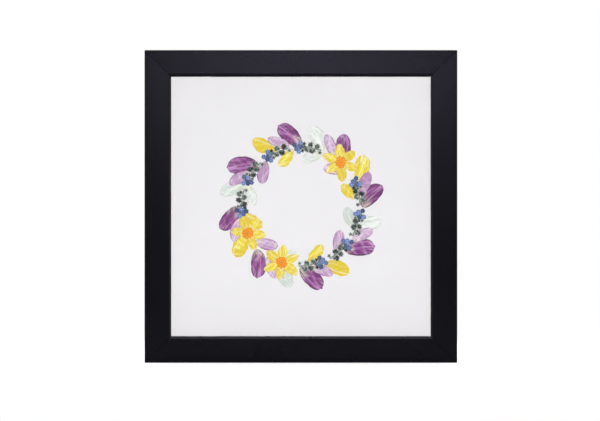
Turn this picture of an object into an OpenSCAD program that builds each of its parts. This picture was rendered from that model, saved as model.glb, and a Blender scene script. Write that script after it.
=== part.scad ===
// Square picture frame that holds a wreath of pressed flowers behind glass.
// It stands upright on its bottom rail, hangs from a sawtooth hanger, or leans on its strut.
// Millimetres. X is to the right seen from the front, the front faces -Y and Z is up.
// The origin is the middle of the footprint: x and y are centred and z = 0 is the bottom edge.

/* [Picture] */
// Side of the square picture that the frame takes
picture_size = 254; // [240:1:305]
// How far the lip of the moulding covers the picture on each side
lip_cover = 5; // [4.5:0.5:7]
// Play of the glass and the boards in the rebate on each side
rebate_play = 0.75; // [0.5:0.25:1.5]

/* [Moulding] */
// Width of a rail seen from the front
rail_w = 25; // [24:0.5:32]
// Depth of a rail from front to back
rail_depth = 25; // [24:0.5:32]
// Thickness of the lip in front of the glass
lip_t = 5; // [4:0.5:5]
// Radius along the outer front edge
outer_round = 1; // [0.6:0.2:3]
// Size of the bevel along the sight edge
sight_bevel = 2; // [0.5:0.25:2.5]

/* [Stack behind the lip] */
// Thickness of the glass
glass_t = 2; // [1.5:0.5:2.5]
// Thickness of the watercolour paper
paper_t = 0.5; // [0.3:0.1:0.8]
// Thickness of the mount board behind the paper
mount_t = 1.5; // [1:0.1:2]
// Thickness of the foam filler board
filler_t = 5; // [3:1:5]
// Thickness of the hardboard back
backing_t = 3; // [2.5:0.5:3.5]
// Width of the strips that hold the glass off the flowers
spacer_w = 3.5; // [2.5:0.5:4]

/* [Back hardware] */
// Distance between the two turn buttons on a rail
button_spacing = 130; // [110:5:150]
// Angle of a turn button: 0 holds the back, 90 lets it out
button_angle = 0; // [-90:15:90]
// Height of the strut's hinge above the bottom edge
hinge_z = 200; // [190:1:215]
// Opening angle of the strut: 0 is folded flat, 25 is its stop
strut_angle = 0; // [0:5:25]
// Height of the rubber bumpers, which stand further out than all else on the back
bumper_h = 5; // [5:0.5:7]

/* [Pressed flowers] */
// Radius of the wreath's middle line
wreath_r = 56; // [50:1:60]
// Number of petals that lean outwards round the wreath
outer_petals = 16; // [12:4:16]
// Number of petals that lean inwards round the wreath
inner_petals = 12; // [9:3:12]
// Thickness of one pressed layer
petal_t = 0.6; // [0.4:0.1:0.8]

/* [Hidden] */
sight = picture_size - 2 * lip_cover;
outer = sight + 2 * rail_w;
mid_z = outer / 2;
rebate_r = rail_w - lip_cover - rebate_play;
board = picture_size;
skin = 1;

// Planes from front to back along Y
total_depth = rail_depth + bumper_h;
front_y = -total_depth / 2;
glass_y = front_y + lip_t;
spacer_y = glass_y + glass_t;
back_y = front_y + rail_depth;
backing_y = back_y - backing_t;
filler_y = backing_y - filler_t;
mount_y = filler_y - mount_t;
paper_y = mount_y - paper_t;
spacer_depth = paper_y - spacer_y;

// Wedge nails across each mitre
wedge_from_corner = [7, 13.5];
wedge_wing = 5;
wedge_t = 0.6;
wedge_h = 10;

// Turn buttons and their screws
button_hold = 8.5;
button_pivot = rail_w - lip_cover - button_hold;
button_r = 5;
button_tip_r = 3.2;
button_reach = 12;
button_t = 1;
button_dimple_r = 1.8;
button_dimple_h = 0.5;
gap = 0.1;
screw_r = 1.4;
screw_head_r = 3.1;
screw_head_h = 1.9;
screw_in_wood = 12;
thread_bite = 0.15;

// Sawtooth hanger and its nails
hanger_w = 44;
hanger_h = 8;
hanger_t = 0.8;
hanger_lift = 1.6;
hanger_z = outer - 0.6 * (rail_w - lip_cover);
hanger_bridge = 26;
hanger_joggle = 2;
tooth_pitch = 2.6;
tooth_depth = 2;
tooth_count = 7;
nail_r = 0.8;
nail_head_r = 1.8;
nail_head_h = 0.7;
nail_in_wood = 10;
nail_x = 18;

// Rubber bumpers
bumper_r = 5;
bumper_x = outer / 2 - 34;
bumper_z = 10;

// Strut, its hinge and rivets
knuckle_r = 1.9;
pin_r = 0.9;
pin_clearance = 0.08;
pin_grip = 0.02;
knuckle_gap = 0.3;
swing_room = 0.5;
barrel_w = 36;
centre_knuckle_w = 17.4;
leaf_t = 0.8;
fixed_leaf_h = 20;
moving_leaf_h = 22;
stop_tail = 7;
strut_stop = 25;
leg_t = 3;
leg_gap = 0.3;
hinge_y = back_y + leg_gap + leg_t + leaf_t - knuckle_r;
leg_top_w = 42;
leg_foot_w = 66;
leg_corner_r = 3;
leg_foot_z = 3;
rivet_r = 1.2;
rivet_head_r = 2.4;
rivet_head_h = 0.9;
rivet_play = 0.05;
rivet_x = 13;

// Petal shapes: [length, width, belly, fullness], where belly over 1 moves the widest place to the tip
purple_petal = [29, 15.5, 1.15, 2.2];
yellow_petal = [27, 14.5, 1.35, 2.0];
white_petal = [26, 14, 1.1, 2.0];
inner_petal = [21, 11, 1.1, 2.1];
bridging_petal = [22, 10.5, 1.0, 1.9];
tepal = [14.5, 9, 0.85, 1.7];
petal_steps = 12;

// Angles between the radial line and each kind of petal
outer_lean = 48;
inner_lean = 132;
bridging_lean = 60;

// Trumpet flowers, placed by their angle round the wreath
trumpet_angles = [207, 251, 48];
trumpet_tepals = 6;
tepal_start = 3.2;
cup_r = 5.2;
cup_frill = 0.5;
cup_t = 1.2;

// Sprigs of small blue flowers, by the angle at which each stem starts
sprig_starts = [70, 101, 132, 163, 268, 299, 330, 361];
sprig_sweep = 23;
stem_w = 1.1;
twig_w = 0.7;
twig_long = 5.4;
bud_twigs = 4;
bud_r = 1.8;
cluster_blossoms = 6;
cluster_step = 2.2;
blossom_r = 2.4;
blossom_t = 0.8;

BUTTONS = [
    "turn_button_bottom_left", "turn_button_bottom_right",
    "turn_button_left_upper", "turn_button_left_lower",
    "turn_button_top_right", "turn_button_top_left",
    "turn_button_right_lower", "turn_button_right_upper"
];

$fn = 48;

// A plate parallel to the picture: its 2D shape is drawn in x and z, from y_front to y_front + t
module slab(y_front, t) {
    translate([0, y_front + t, 0]) rotate([90, 0, 0]) linear_extrude(t) children();
}

// A round bar along Y, from y_front to y_front + h
module bar_y(x, z, y_front, r, h) {
    translate([x, y_front, z]) rotate([-90, 0, 0]) cylinder(r = r, h = h);
}

// Turns a shape on the bottom rail to another side: 0 bottom, 1 left, 2 top, 3 right
module on_side(side) {
    translate([0, 0, mid_z]) rotate([0, 90 * side, 0]) translate([0, 0, -mid_z]) children();
}

// Moulding

// Cross-section: x runs inwards from the outer edge and y runs from front to back
module rail_profile() {
    difference() {
        translate([0, front_y]) square([rail_w, rail_depth]);
        translate([rebate_r, glass_y]) square([rail_w, rail_depth + skin]);
        translate([0, front_y]) difference() {
            translate([-skin, -skin]) square(outer_round + skin);
            translate([outer_round, outer_round]) circle(outer_round);
        }
        translate([rail_w, front_y]) rotate(45) square(sight_bevel * sqrt(2), center = true);
    }
}

module rail_blank() {
    intersection() {
        rotate([0, -90, 0]) linear_extrude(outer, center = true) rail_profile();
        slab(front_y - skin, rail_depth + 2 * skin)
            polygon([[-outer / 2, 0], [outer / 2, 0], [0, outer / 2]]);
    }
}

// The two wedge nails at the left end of the bottom rail, grown by a margin for their slots
module corner_wedge_pair(margin) {
    for (d = wedge_from_corner)
        slab(back_y - wedge_h - margin, wedge_h + 2 * margin)
            translate([-outer / 2 + d, d]) wedge_outline(margin);
}

module wedge_outline(margin) {
    t = wedge_t / 2 + margin;
    l = wedge_wing + margin;
    polygon([[-t, -t], [l, -t], [l, t], [t, t], [t, l], [-t, l]]);
}

module rail(side) {
    color([0.12, 0.12, 0.14]) on_side(side) difference() {
        rail_blank();
        for (x = [-1, 1] * button_spacing / 2)
            bar_y(x, button_pivot, back_y - screw_in_wood, screw_r - thread_bite,
                screw_in_wood + skin);
        corner_wedge_pair(0.02);
        mirror([1, 0, 0]) corner_wedge_pair(0.02);
        if (side == 2)
            for (x = [-1, 1] * nail_x)
                bar_y(x, outer - hanger_z, back_y - nail_in_wood, nail_r - thread_bite,
                    nail_in_wood + skin);
    }
}

module mitre_wedges() {
    color([0.55, 0.56, 0.58]) for (side = [0:3]) on_side(side) corner_wedge_pair(0);
}

// Stack behind the lip

module square_sheet(y_front, t, side) {
    slab(y_front, t) translate([0, mid_z]) square(side, center = true);
}

module glazing() {
    color([0.85, 0.92, 0.93, 0.25]) square_sheet(glass_y, glass_t, board);
}

// The top and bottom strips run the full width, and the side strips fit between them
module spacer(side) {
    long = side % 2 == 0 ? board : board - 2 * spacer_w;
    color([0.08, 0.08, 0.09]) on_side(side)
        slab(spacer_y, spacer_depth)
            translate([-long / 2, (outer - board) / 2]) square([long, spacer_w]);
}

module art_paper() {
    color([0.93, 0.92, 0.93]) square_sheet(paper_y, paper_t, board);
}

module mount_board() {
    color([0.9, 0.89, 0.86]) square_sheet(mount_y, mount_t, board);
}

module filler_board() {
    color([0.95, 0.95, 0.95]) square_sheet(filler_y, filler_t, board);
}

module backing_board() {
    color([0.45, 0.31, 0.2]) difference() {
        square_sheet(backing_y, backing_t, board);
        for (x = [-1, 1] * rivet_x, z = fixed_rivet_z())
            bar_y(x, z, backing_y - skin, rivet_r + rivet_play, backing_t + 2 * skin);
    }
}

// Back hardware

// Outline of two discs, the second at distance d along +y, joined by their shared tangents
module tear_outline(r_near, r_far, d) {
    lean = asin((r_near - r_far) / d);
    near_pt = r_near * [cos(lean), sin(lean)];
    far_pt = r_far * [cos(lean), sin(lean)] + [0, d];
    circle(r_near);
    translate([0, d]) circle(r_far);
    polygon([near_pt, far_pt, [-far_pt[0], far_pt[1]], [-near_pt[0], near_pt[1]]]);
}

// A tear-shaped plate that turns about its screw and reaches over the edge of the back
module turn_button(index) {
    side = floor(index / 2);
    x = (index % 2 == 0 ? -1 : 1) * button_spacing / 2;
    color([0.72, 0.72, 0.7]) on_side(side)
        translate([x, 0, button_pivot]) rotate([0, button_angle, 0]) difference() {
            union() {
                slab(back_y + gap, button_t) tear_outline(button_r, button_tip_r, button_reach);
                bar_y(0, button_reach, back_y + gap + button_t, button_dimple_r, button_dimple_h);
            }
            bar_y(0, 0, back_y - skin, screw_r + gap, button_t + 2 * skin);
        }
}

// Pan-head wood screw that is the pivot of a turn button, with a cross recess
module button_screw(x) {
    head_y = back_y + button_t + 2 * gap;
    difference() {
        union() {
            bar_y(x, button_pivot, back_y - screw_in_wood, screw_r,
                head_y - back_y + screw_in_wood);
            bar_y(x, button_pivot, head_y, screw_head_r, screw_head_h);
        }
        for (turn = [45, 135])
            translate([x, head_y + screw_head_h, button_pivot]) rotate([0, turn, 0])
                cube([3.6, 2, 0.7], center = true);
    }
}

module button_screws() {
    color([0.6, 0.6, 0.6]) for (side = [0:3], x = [-1, 1] * button_spacing / 2)
        on_side(side) button_screw(x);
}

// A steel strip bent away from the rail, with teeth along its lower edge for a wall nail
module sawtooth_hanger() {
    half = hanger_bridge / 2;
    foot = half + hanger_joggle;
    line = [[-hanger_w / 2, 0], [-foot, 0], [-half, hanger_lift], [half, hanger_lift],
        [foot, 0], [hanger_w / 2, 0]];
    strip = concat(line, [for (i = [len(line) - 1:-1:0]) line[i] + [0, hanger_t]]);
    color([0.75, 0.72, 0.6]) difference() {
        translate([0, back_y, hanger_z - hanger_h / 2]) linear_extrude(hanger_h)
            polygon(strip);
        for (i = [0:tooth_count - 1])
            translate([(i - (tooth_count - 1) / 2) * tooth_pitch, 0, hanger_z - hanger_h / 2])
                slab(back_y - skin, hanger_lift + 2 * skin + hanger_t)
                    polygon([[-tooth_pitch / 2, -skin], [-tooth_pitch / 2, 0], [0, tooth_depth],
                        [tooth_pitch / 2, 0], [tooth_pitch / 2, -skin]]);
        for (x = [-1, 1] * nail_x)
            bar_y(x, hanger_z, back_y - skin, nail_r + gap, hanger_t + 2 * skin);
    }
}

module hanger_nails() {
    color([0.7, 0.68, 0.55]) for (x = [-1, 1] * nail_x) {
        bar_y(x, hanger_z, back_y - nail_in_wood, nail_r, nail_in_wood + hanger_t);
        bar_y(x, hanger_z, back_y + hanger_t, nail_head_r, nail_head_h);
    }
}

module bumper(side) {
    dome = 1.5;
    color([0.2, 0.2, 0.2]) translate([side * bumper_x, back_y, bumper_z]) rotate([-90, 0, 0])
        rotate_extrude() {
            square([bumper_r, bumper_h - dome]);
            square([bumper_r - dome, bumper_h]);
            translate([bumper_r - dome, bumper_h - dome]) intersection() {
                circle(dome);
                square(dome);
            }
        }
}

// Strut

function fixed_rivet_z() = [hinge_z + 8, hinge_z + 15];
function moving_rivet_z() = [hinge_z - 9, hinge_z - 17];

module knuckle(x, w, bore_r) {
    translate([x, hinge_y, hinge_z]) rotate([0, 90, 0]) difference() {
        cylinder(r = knuckle_r, h = w, center = true);
        cylinder(r = bore_r, h = w + skin, center = true);
    }
}

// Leaf riveted to the back, with a knuckle at each end of the barrel
module hinge_fixed_leaf() {
    end_w = (barrel_w - centre_knuckle_w) / 2 - knuckle_gap;
    notch_w = centre_knuckle_w + 2 * knuckle_gap;
    notch_h = knuckle_r + swing_room;
    color([0.7, 0.7, 0.68]) {
        difference() {
            slab(back_y, leaf_t) difference() {
                translate([-barrel_w / 2, hinge_z]) square([barrel_w, fixed_leaf_h]);
                translate([-notch_w / 2, hinge_z - skin]) square([notch_w, notch_h + skin]);
            }
            for (x = [-1, 1] * rivet_x, z = fixed_rivet_z())
                bar_y(x, z, back_y - skin, rivet_r + rivet_play, leaf_t + 2 * skin);
        }
        for (x = [-1, 1] * (barrel_w - end_w) / 2)
            knuckle(x, end_w, pin_r - pin_grip);
    }
}

module hinge_pin() {
    color([0.6, 0.6, 0.6]) translate([0, hinge_y, hinge_z]) rotate([0, 90, 0])
        cylinder(r = pin_r, h = barrel_w + 1, center = true);
}

module about_hinge(angle) {
    translate([0, hinge_y, hinge_z]) rotate([angle, 0, 0])
        translate([0, -hinge_y, -hinge_z]) children();
}

module swung() {
    about_hinge(strut_angle) children();
}

// Leaf riveted to the leg, with the middle knuckle and the tail that stops the leg when it is open
module hinge_moving_leaf() {
    leaf_y = back_y + leg_gap + leg_t;
    wide_h = moving_leaf_h - knuckle_r - swing_room;
    tail_z = pin_r + 0.4;
    color([0.7, 0.7, 0.68]) swung() {
        difference() {
            slab(leaf_y, leaf_t) translate([0, hinge_z - moving_leaf_h]) {
                translate([-barrel_w / 2, 0]) square([barrel_w, wide_h]);
                translate([-centre_knuckle_w / 2, 0]) square([centre_knuckle_w, moving_leaf_h]);
            }
            for (x = [-1, 1] * rivet_x, z = moving_rivet_z())
                bar_y(x, z, leaf_y - skin, rivet_r + rivet_play, leaf_t + 2 * skin);
        }
        knuckle(0, centre_knuckle_w, pin_r + pin_clearance);
        about_hinge(-strut_stop) slab(back_y + leaf_t + gap, leaf_t)
            translate([-centre_knuckle_w / 2, hinge_z + tail_z])
                square([centre_knuckle_w, stop_tail - tail_z]);
    }
}

// A four-sided outline whose corners are rounded discs about the given points
module rounded_quad(points, r) {
    polygon(points);
    for (i = [0:3]) {
        edge = points[(i + 1) % 4] - points[i];
        out = r * [edge[1], -edge[0]] / norm(edge);
        translate(points[i]) circle(r);
        polygon([points[i], points[i] + out, points[i] + out + edge, points[i] + edge]);
    }
}

module strut_leg() {
    top_z = hinge_z - knuckle_r - swing_room - leg_corner_r;
    top_x = leg_top_w / 2 - leg_corner_r;
    foot_z = leg_foot_z + leg_corner_r;
    foot_x = leg_foot_w / 2 - leg_corner_r;
    color([0.3, 0.2, 0.14]) swung() difference() {
        slab(back_y + leg_gap, leg_t) rounded_quad(
            [[-foot_x, foot_z], [foot_x, foot_z], [top_x, top_z], [-top_x, top_z]], leg_corner_r);
        for (x = [-1, 1] * rivet_x, z = moving_rivet_z())
            bar_y(x, z, back_y - skin, rivet_r + rivet_play, leg_t + 2 * skin);
    }
}

module rivet(x, z, tail_y, head_y) {
    bar_y(x, z, tail_y, rivet_r, head_y - tail_y);
    bar_y(x, z, head_y, rivet_head_r, rivet_head_h);
}

module backing_rivets() {
    color([0.6, 0.6, 0.6]) for (x = [-1, 1] * rivet_x, z = fixed_rivet_z())
        rivet(x, z, backing_y, back_y + leaf_t);
}

module strut_rivets() {
    color([0.6, 0.6, 0.6]) swung() for (x = [-1, 1] * rivet_x, z = moving_rivet_z())
        rivet(x, z, back_y + leg_gap, back_y + leg_gap + leg_t + leaf_t);
}

// Pressed flowers

// Half the width of a petal at share t of its length
function petal_half(shape, t) =
    shape[1] / 2 * sqrt(max(0, 1 - pow(abs(2 * pow(t, shape[2]) - 1), shape[3])));

// Outline of a petal from its base at the origin to its tip along +y
function petal_outline(shape) = concat(
    [for (i = [0:petal_steps]) let (t = (1 - cos(180 * i / petal_steps)) / 2)
        [petal_half(shape, t), shape[0] * t]],
    [for (i = [petal_steps - 1:-1:1]) let (t = (1 - cos(180 * i / petal_steps)) / 2)
        [-petal_half(shape, t), shape[0] * t]]
);

// A steady small variation from petal to petal, between -1 and 1
function wobble(i) = sin(i * 137.5);

// Puts a 2D shape at an angle and radius of the wreath, turned to lean from the radial line
module at_wreath(angle, r, lean) {
    translate([0, mid_z]) rotate(angle) translate([r, 0]) rotate(lean - 90) children();
}

// Layers lie in front of the paper, numbered from it
module layer(number, t) {
    slab(paper_y - number * petal_t - t, t) children();
}

module outer_petal(i, shape) {
    at_wreath(360 / outer_petals * i, wreath_r + 1, outer_lean + 3 * wobble(i))
        polygon(petal_outline(shape * (1 + 0.04 * wobble(i + 5))));
}

module inner_petal_at(i) {
    at_wreath(360 / inner_petals * i + 8, wreath_r - 2, inner_lean + 2 * wobble(i))
        polygon(petal_outline(inner_petal * (1 + 0.03 * wobble(i + 2))));
}

// Lies over the gap between two outer petals
module bridging_petal_at(i) {
    at_wreath(360 / outer_petals * (i + 0.5), wreath_r + 2, bridging_lean + 4 * wobble(i))
        polygon(petal_outline(bridging_petal * (1 + 0.05 * wobble(i + 3))));
}

module purple_petals() {
    color([0.5, 0.28, 0.55]) layer(0, petal_t)
        for (i = [0:2:outer_petals - 1]) outer_petal(i, purple_petal);
}

module lilac_petals() {
    color([0.74, 0.58, 0.77]) {
        layer(0, petal_t) for (i = [1:3:inner_petals - 1]) inner_petal_at(i);
        layer(1, petal_t) for (i = [0:2:outer_petals - 1]) bridging_petal_at(i);
    }
}

module yellow_petals() {
    color([0.95, 0.84, 0.3]) layer(0, petal_t) {
        for (i = [1:4:outer_petals - 1]) outer_petal(i, yellow_petal);
        for (i = [0:3:inner_petals - 1]) inner_petal_at(i);
    }
}

module white_petals() {
    color([0.88, 0.92, 0.86]) layer(0, petal_t) {
        for (i = [3:4:outer_petals - 1]) outer_petal(i, white_petal);
        for (i = [2:3:inner_petals - 1]) inner_petal_at(i);
    }
}

module trumpet_tepals() {
    color([0.97, 0.88, 0.3]) layer(2, petal_t)
        for (a = trumpet_angles, k = [0:trumpet_tepals - 1])
            at_wreath(a, wreath_r, a) rotate(360 / trumpet_tepals * k)
                translate([0, tepal_start]) polygon(petal_outline(tepal));
}

module trumpet_cups() {
    cup = [for (q = [0:5:355]) (cup_r + cup_frill * cos(9 * q)) * [cos(q), sin(q)]];
    color([0.95, 0.6, 0.15]) layer(3, cup_t)
        for (a = trumpet_angles) at_wreath(a, wreath_r, a) polygon(cup);
}

// Sprigs: a stem along the wreath, twigs with buds on both sides and a cluster of blossoms at its end

function bud_angle(start, k) = start + sprig_sweep * (0.1 + 0.13 * k);
function bud_lean(k) = k % 2 == 0 ? 50 : 130;
function twig_length(start, k) = twig_long * (0.9 + 0.15 * wobble(start + k));

module at_bud(start, k) {
    at_wreath(bud_angle(start, k), wreath_r, bud_lean(k)) children();
}

// The blossoms of a cluster lie on a spiral about the end of the stem
function cluster_reach(k) = cluster_step * sqrt(k);

module at_blossom(start, k) {
    at_wreath(start + sprig_sweep, wreath_r, 137.5 * k) children();
}

module twig(length) {
    translate([-twig_w / 2, 0]) square([twig_w, length]);
}

module sprig_stems() {
    inside = wreath_r - stem_w / 2;
    outside = wreath_r + stem_w / 2;
    color([0.36, 0.42, 0.38]) layer(2, petal_t) for (start = sprig_starts) {
        arc = [for (i = [0:8]) start + sprig_sweep * i / 8];
        translate([0, mid_z]) polygon(concat(
            [for (q = arc) outside * [cos(q), sin(q)]],
            [for (i = [8:-1:0]) inside * [cos(arc[i]), sin(arc[i])]]));
        for (k = [0:bud_twigs - 1])
            at_bud(start, k) twig(twig_length(start, k));
        for (k = [1:cluster_blossoms - 1])
            at_blossom(start, k) twig(cluster_reach(k));
    }
}

// A flat rosette with rounded lobes
function rosette(r, lobes) = [for (q = [0:90 / lobes:359])
    r * (0.86 + 0.14 * cos(lobes * q)) * [cos(q), sin(q)]];

module sprig_buds() {
    color([0.38, 0.45, 0.42]) layer(3, blossom_t)
        for (start = sprig_starts, k = [0:bud_twigs - 1])
            at_bud(start, k) translate([0, twig_length(start, k)]) polygon(rosette(bud_r, 3));
}

module blue_blossoms() {
    color([0.4, 0.52, 0.78]) layer(3, blossom_t)
        for (start = sprig_starts, k = [0:cluster_blossoms - 1])
            at_blossom(start, k) translate([0, cluster_reach(k)])
                polygon(rosette(blossom_r, 5));
}

rail(0);  // bottom_rail
rail(1);  // left_rail
rail(2);  // top_rail
rail(3);  // right_rail
mitre_wedges();
glazing();
spacer(0);  // spacer_bottom
spacer(1);  // spacer_left
spacer(2);  // spacer_top
spacer(3);  // spacer_right
art_paper();
mount_board();
filler_board();
backing_board();
for (i = [0:len(BUTTONS) - 1])
    turn_button(i);
button_screws();
sawtooth_hanger();
hanger_nails();
bumper(-1);  // bumper_left
bumper(1);  // bumper_right
hinge_fixed_leaf();
hinge_pin();
hinge_moving_leaf();
strut_leg();
backing_rivets();
strut_rivets();
purple_petals();
lilac_petals();
yellow_petals();
white_petals();
trumpet_tepals();
trumpet_cups();
sprig_stems();
sprig_buds();
blue_blossoms();
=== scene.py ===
# %% [markdown]
# # A square frame with a wreath of pressed flowers
# A CAD model holds the frame's exact solids. This script loads them, gives every surface its
# finish, and builds the pieces that a CAD model can only hint at: petals, sprigs, domed screws.
# Everything is in metres: X to the right, Y from the front to the back, Z up.

import bpy
import numpy as np
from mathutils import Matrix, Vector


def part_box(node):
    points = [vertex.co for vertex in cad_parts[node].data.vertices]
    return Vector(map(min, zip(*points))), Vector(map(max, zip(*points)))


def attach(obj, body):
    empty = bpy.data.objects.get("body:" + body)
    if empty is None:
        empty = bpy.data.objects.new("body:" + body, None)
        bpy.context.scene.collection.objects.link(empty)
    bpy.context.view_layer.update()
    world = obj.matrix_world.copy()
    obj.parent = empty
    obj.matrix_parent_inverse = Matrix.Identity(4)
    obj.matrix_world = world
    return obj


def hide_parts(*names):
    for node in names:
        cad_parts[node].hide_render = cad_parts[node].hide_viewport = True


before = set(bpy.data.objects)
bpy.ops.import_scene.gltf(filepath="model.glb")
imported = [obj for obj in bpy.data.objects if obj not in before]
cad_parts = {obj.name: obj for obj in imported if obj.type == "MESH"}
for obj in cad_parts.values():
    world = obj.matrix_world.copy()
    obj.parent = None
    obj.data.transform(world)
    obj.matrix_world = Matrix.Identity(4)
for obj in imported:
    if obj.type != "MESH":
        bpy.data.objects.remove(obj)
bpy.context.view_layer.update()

# %% [markdown]
# ## Planes and sizes
# The depth of a picture frame is a stack of thin sheets, so most pieces are placed by the plane
# they lie on. The planes are read off the CAD solids, so a new pack moves every piece with it.

# %% Measure the planes
MM = 0.001
FACE_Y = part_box("top_rail")[0].y
BACK_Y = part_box("top_rail")[1].y
PAPER_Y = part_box("art_paper")[0].y
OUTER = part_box("top_rail")[1].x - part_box("top_rail")[0].x
MIDDLE = OUTER / 2
print("outside", round(OUTER, 4), "m, face at", round(FACE_Y, 4), "back at", round(BACK_Y, 4))

# %% [markdown]
# ## Camera
# The picture is taken square on, so the camera looks along +Y at the frame's own height and a
# long lens from four metres keeps the sides parallel and looks straight down on the bevel. The
# lens follows from the size of the frame in the image:
# focal length = sensor width * (pixels per metre * distance) / image width. A very small shift
# moves the frame to its place in the image without tilting the camera.

# %% Place the camera
IMAGE_W, IMAGE_H = 600, 421
FRAME_PX = 312.85
FRAME_AT_PX = (300.9, 206.42)
CAMERA_AWAY = 4.0
SENSOR_MM = 36

camera_data = bpy.data.cameras.new("camera")
camera = bpy.data.objects.new("camera", camera_data)
bpy.context.scene.collection.objects.link(camera)
camera.location = (0, FACE_Y - CAMERA_AWAY, MIDDLE)
camera.rotation_euler = (np.radians(90), 0, 0)
camera_data.sensor_width = SENSOR_MM
camera_data.lens = SENSOR_MM * (FRAME_PX / OUTER) * CAMERA_AWAY / IMAGE_W
camera_data.shift_x = (IMAGE_W / 2 - FRAME_AT_PX[0]) / IMAGE_W
camera_data.shift_y = (FRAME_AT_PX[1] - IMAGE_H / 2) / IMAGE_W
bpy.context.scene.camera = camera
bpy.context.scene.view_settings.view_transform = "Standard"
print("lens", round(camera_data.lens, 1), "mm")

# %% [markdown]
# ## Helpers for nodes
# A material is a small program drawn as nodes. These helpers write one node per line: each input
# is either a plain value or the output of another node.

# %% Write node trees in a few words
def feed(tree, socket, value):
    """Links another node's output to a socket, or sets the socket to a plain value."""
    if isinstance(value, bpy.types.NodeSocket):
        tree.links.new(value, socket)
    else:
        socket.default_value = value


def add(tree, kind, inputs=None, **settings):
    """Adds a node. inputs maps a socket's name or number to a value or to another node's output."""
    made = tree.nodes.new(kind)
    for key, value in settings.items():
        setattr(made, key, value)
    for key, value in (inputs or {}).items():
        feed(tree, made.inputs[key], value)
    return made


def maths(tree, operation, a, b=0.0, c=0.0):
    """One Math node: operation of a, b and c."""
    return add(tree, "ShaderNodeMath", {0: a, 1: b, 2: c}, operation=operation).outputs[0]


def spread(tree, value, low, high, to_low=0.0, to_high=1.0, smooth=True):
    """Maps low..high of a value to to_low..to_high and holds it at the ends."""
    kind = "SMOOTHSTEP" if smooth else "LINEAR"
    return add(tree, "ShaderNodeMapRange",
               {"Value": value, "From Min": low, "From Max": high, "To Min": to_low,
                "To Max": to_high}, interpolation_type=kind).outputs["Result"]


def mix(tree, factor, a, b):
    """Mixes colour a into colour b by a factor from 0 to 1."""
    made = add(tree, "ShaderNodeMix", data_type="RGBA")
    for number, value in ((0, factor), (6, a), (7, b)):
        feed(tree, made.inputs[number], value)
    return made.outputs[2]


def noise(tree, vector, scale, detail=3.0, rough=0.55, twist=0.0):
    """A cloud of values round 0.5, with features of about 1 / scale metres."""
    return add(tree, "ShaderNodeTexNoise",
               {"Vector": vector, "Scale": scale, "Detail": detail, "Roughness": rough,
                "Distortion": twist}).outputs["Fac"]


print("node helpers:", *(f.__name__ for f in (feed, add, maths, spread, mix, noise)))

# %% [markdown]
# A finish has to know where on the piece it is. Object coordinates give the place in metres, so a
# pattern keeps its true scale on every piece. An attribute gives a value stored on the points.

# %% Read places and values off the object
def object_place(tree):
    """The place of a point on the object, in metres."""
    return add(tree, "ShaderNodeTexCoord").outputs["Object"]


def attribute(tree, mark):
    """A value that is stored on the points of a piece."""
    return add(tree, "ShaderNodeAttribute", attribute_name=mark).outputs["Fac"]


def stretched(tree, vector, scale):
    """The same coordinates, multiplied by a scale for each axis."""
    return add(tree, "ShaderNodeMapping", {"Vector": vector, "Scale": scale}).outputs[0]


print("place helpers:", *(f.__name__ for f in (object_place, attribute, stretched)))

# %% [markdown]
# Most finishes end in the same way: a colour, a roughness and a fine relief are fed to the
# Principled shader. The relief is a Bump node, because it is too fine to be worth a mesh.

# %% Start and finish a material
NUMBER, VECTOR = "NodeSocketFloat", "NodeSocketVector"


def srgb(digits):
    """The linear colour that a shader wants, from the six digits that a colour picker shows."""
    c = np.array(list(bytes.fromhex(digits))) / 255
    linear = np.where(c <= 0.04045, c / 12.92, ((c + 0.055) / 1.055) ** 2.4)
    return (*linear.tolist(), 1.0)


def new_material(name):
    """A material with a Principled shader: returns the material, its tree and the shader."""
    material = bpy.data.materials.new(name)
    material.use_nodes = True
    tree = material.node_tree
    return material, tree, tree.nodes["Principled BSDF"]


def dress(tree, shader, colour, rough, level, height, strength, depth):
    """Feeds the shader a colour, a roughness and a specular level, and shades it as if a height
    of 1 stood depth millimetres high."""
    feed(tree, shader.inputs["Base Color"], colour)
    feed(tree, shader.inputs["Roughness"], rough)
    shader.inputs["Specular IOR Level"].default_value = level
    bump = add(tree, "ShaderNodeBump",
               {"Strength": strength, "Distance": depth * MM, "Height": height})
    tree.links.new(bump.outputs[0], shader.inputs["Normal"])


def new_group(name, inputs, outputs):
    """A node group with named sockets: returns the group and its input and output nodes."""
    group = bpy.data.node_groups.new(name, "ShaderNodeTree")
    for way, sockets in (("INPUT", inputs), ("OUTPUT", outputs)):
        for socket_name, kind in sockets.items():
            group.interface.new_socket(name=socket_name, in_out=way, socket_type=kind)
    return group, group.nodes.new("NodeGroupInput"), group.nodes.new("NodeGroupOutput")


print("mid grey is", round(srgb("808080")[0], 3), "in a shader")

# %% [markdown]
# ## Floor and surroundings
# The object stands on a plain white floor in a white room. Only the rays that the camera sees,
# directly or in glass and metal, meet that white. The light that falls on the object comes from
# a dimmer sky and from lamps, so that no surface is over-lit by its own background. As in a studio
# where glass is photographed, the wall in front of the object is kept dim. It is what the pane
# mirrors, and a white one would lay a veil over the flowers.

# %% Build the room
SKY_FILL = 0.05
FRONT_WALL = 0.15
FLOOR_SIZE = 9.0
# The floor's glow and its own paleness fade from under the object to white at these distances
GLOW_FROM, GLOW_TO = 0.25, 1.1
GLOW_BELOW, PALENESS_BELOW = 0.78, 0.62


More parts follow.
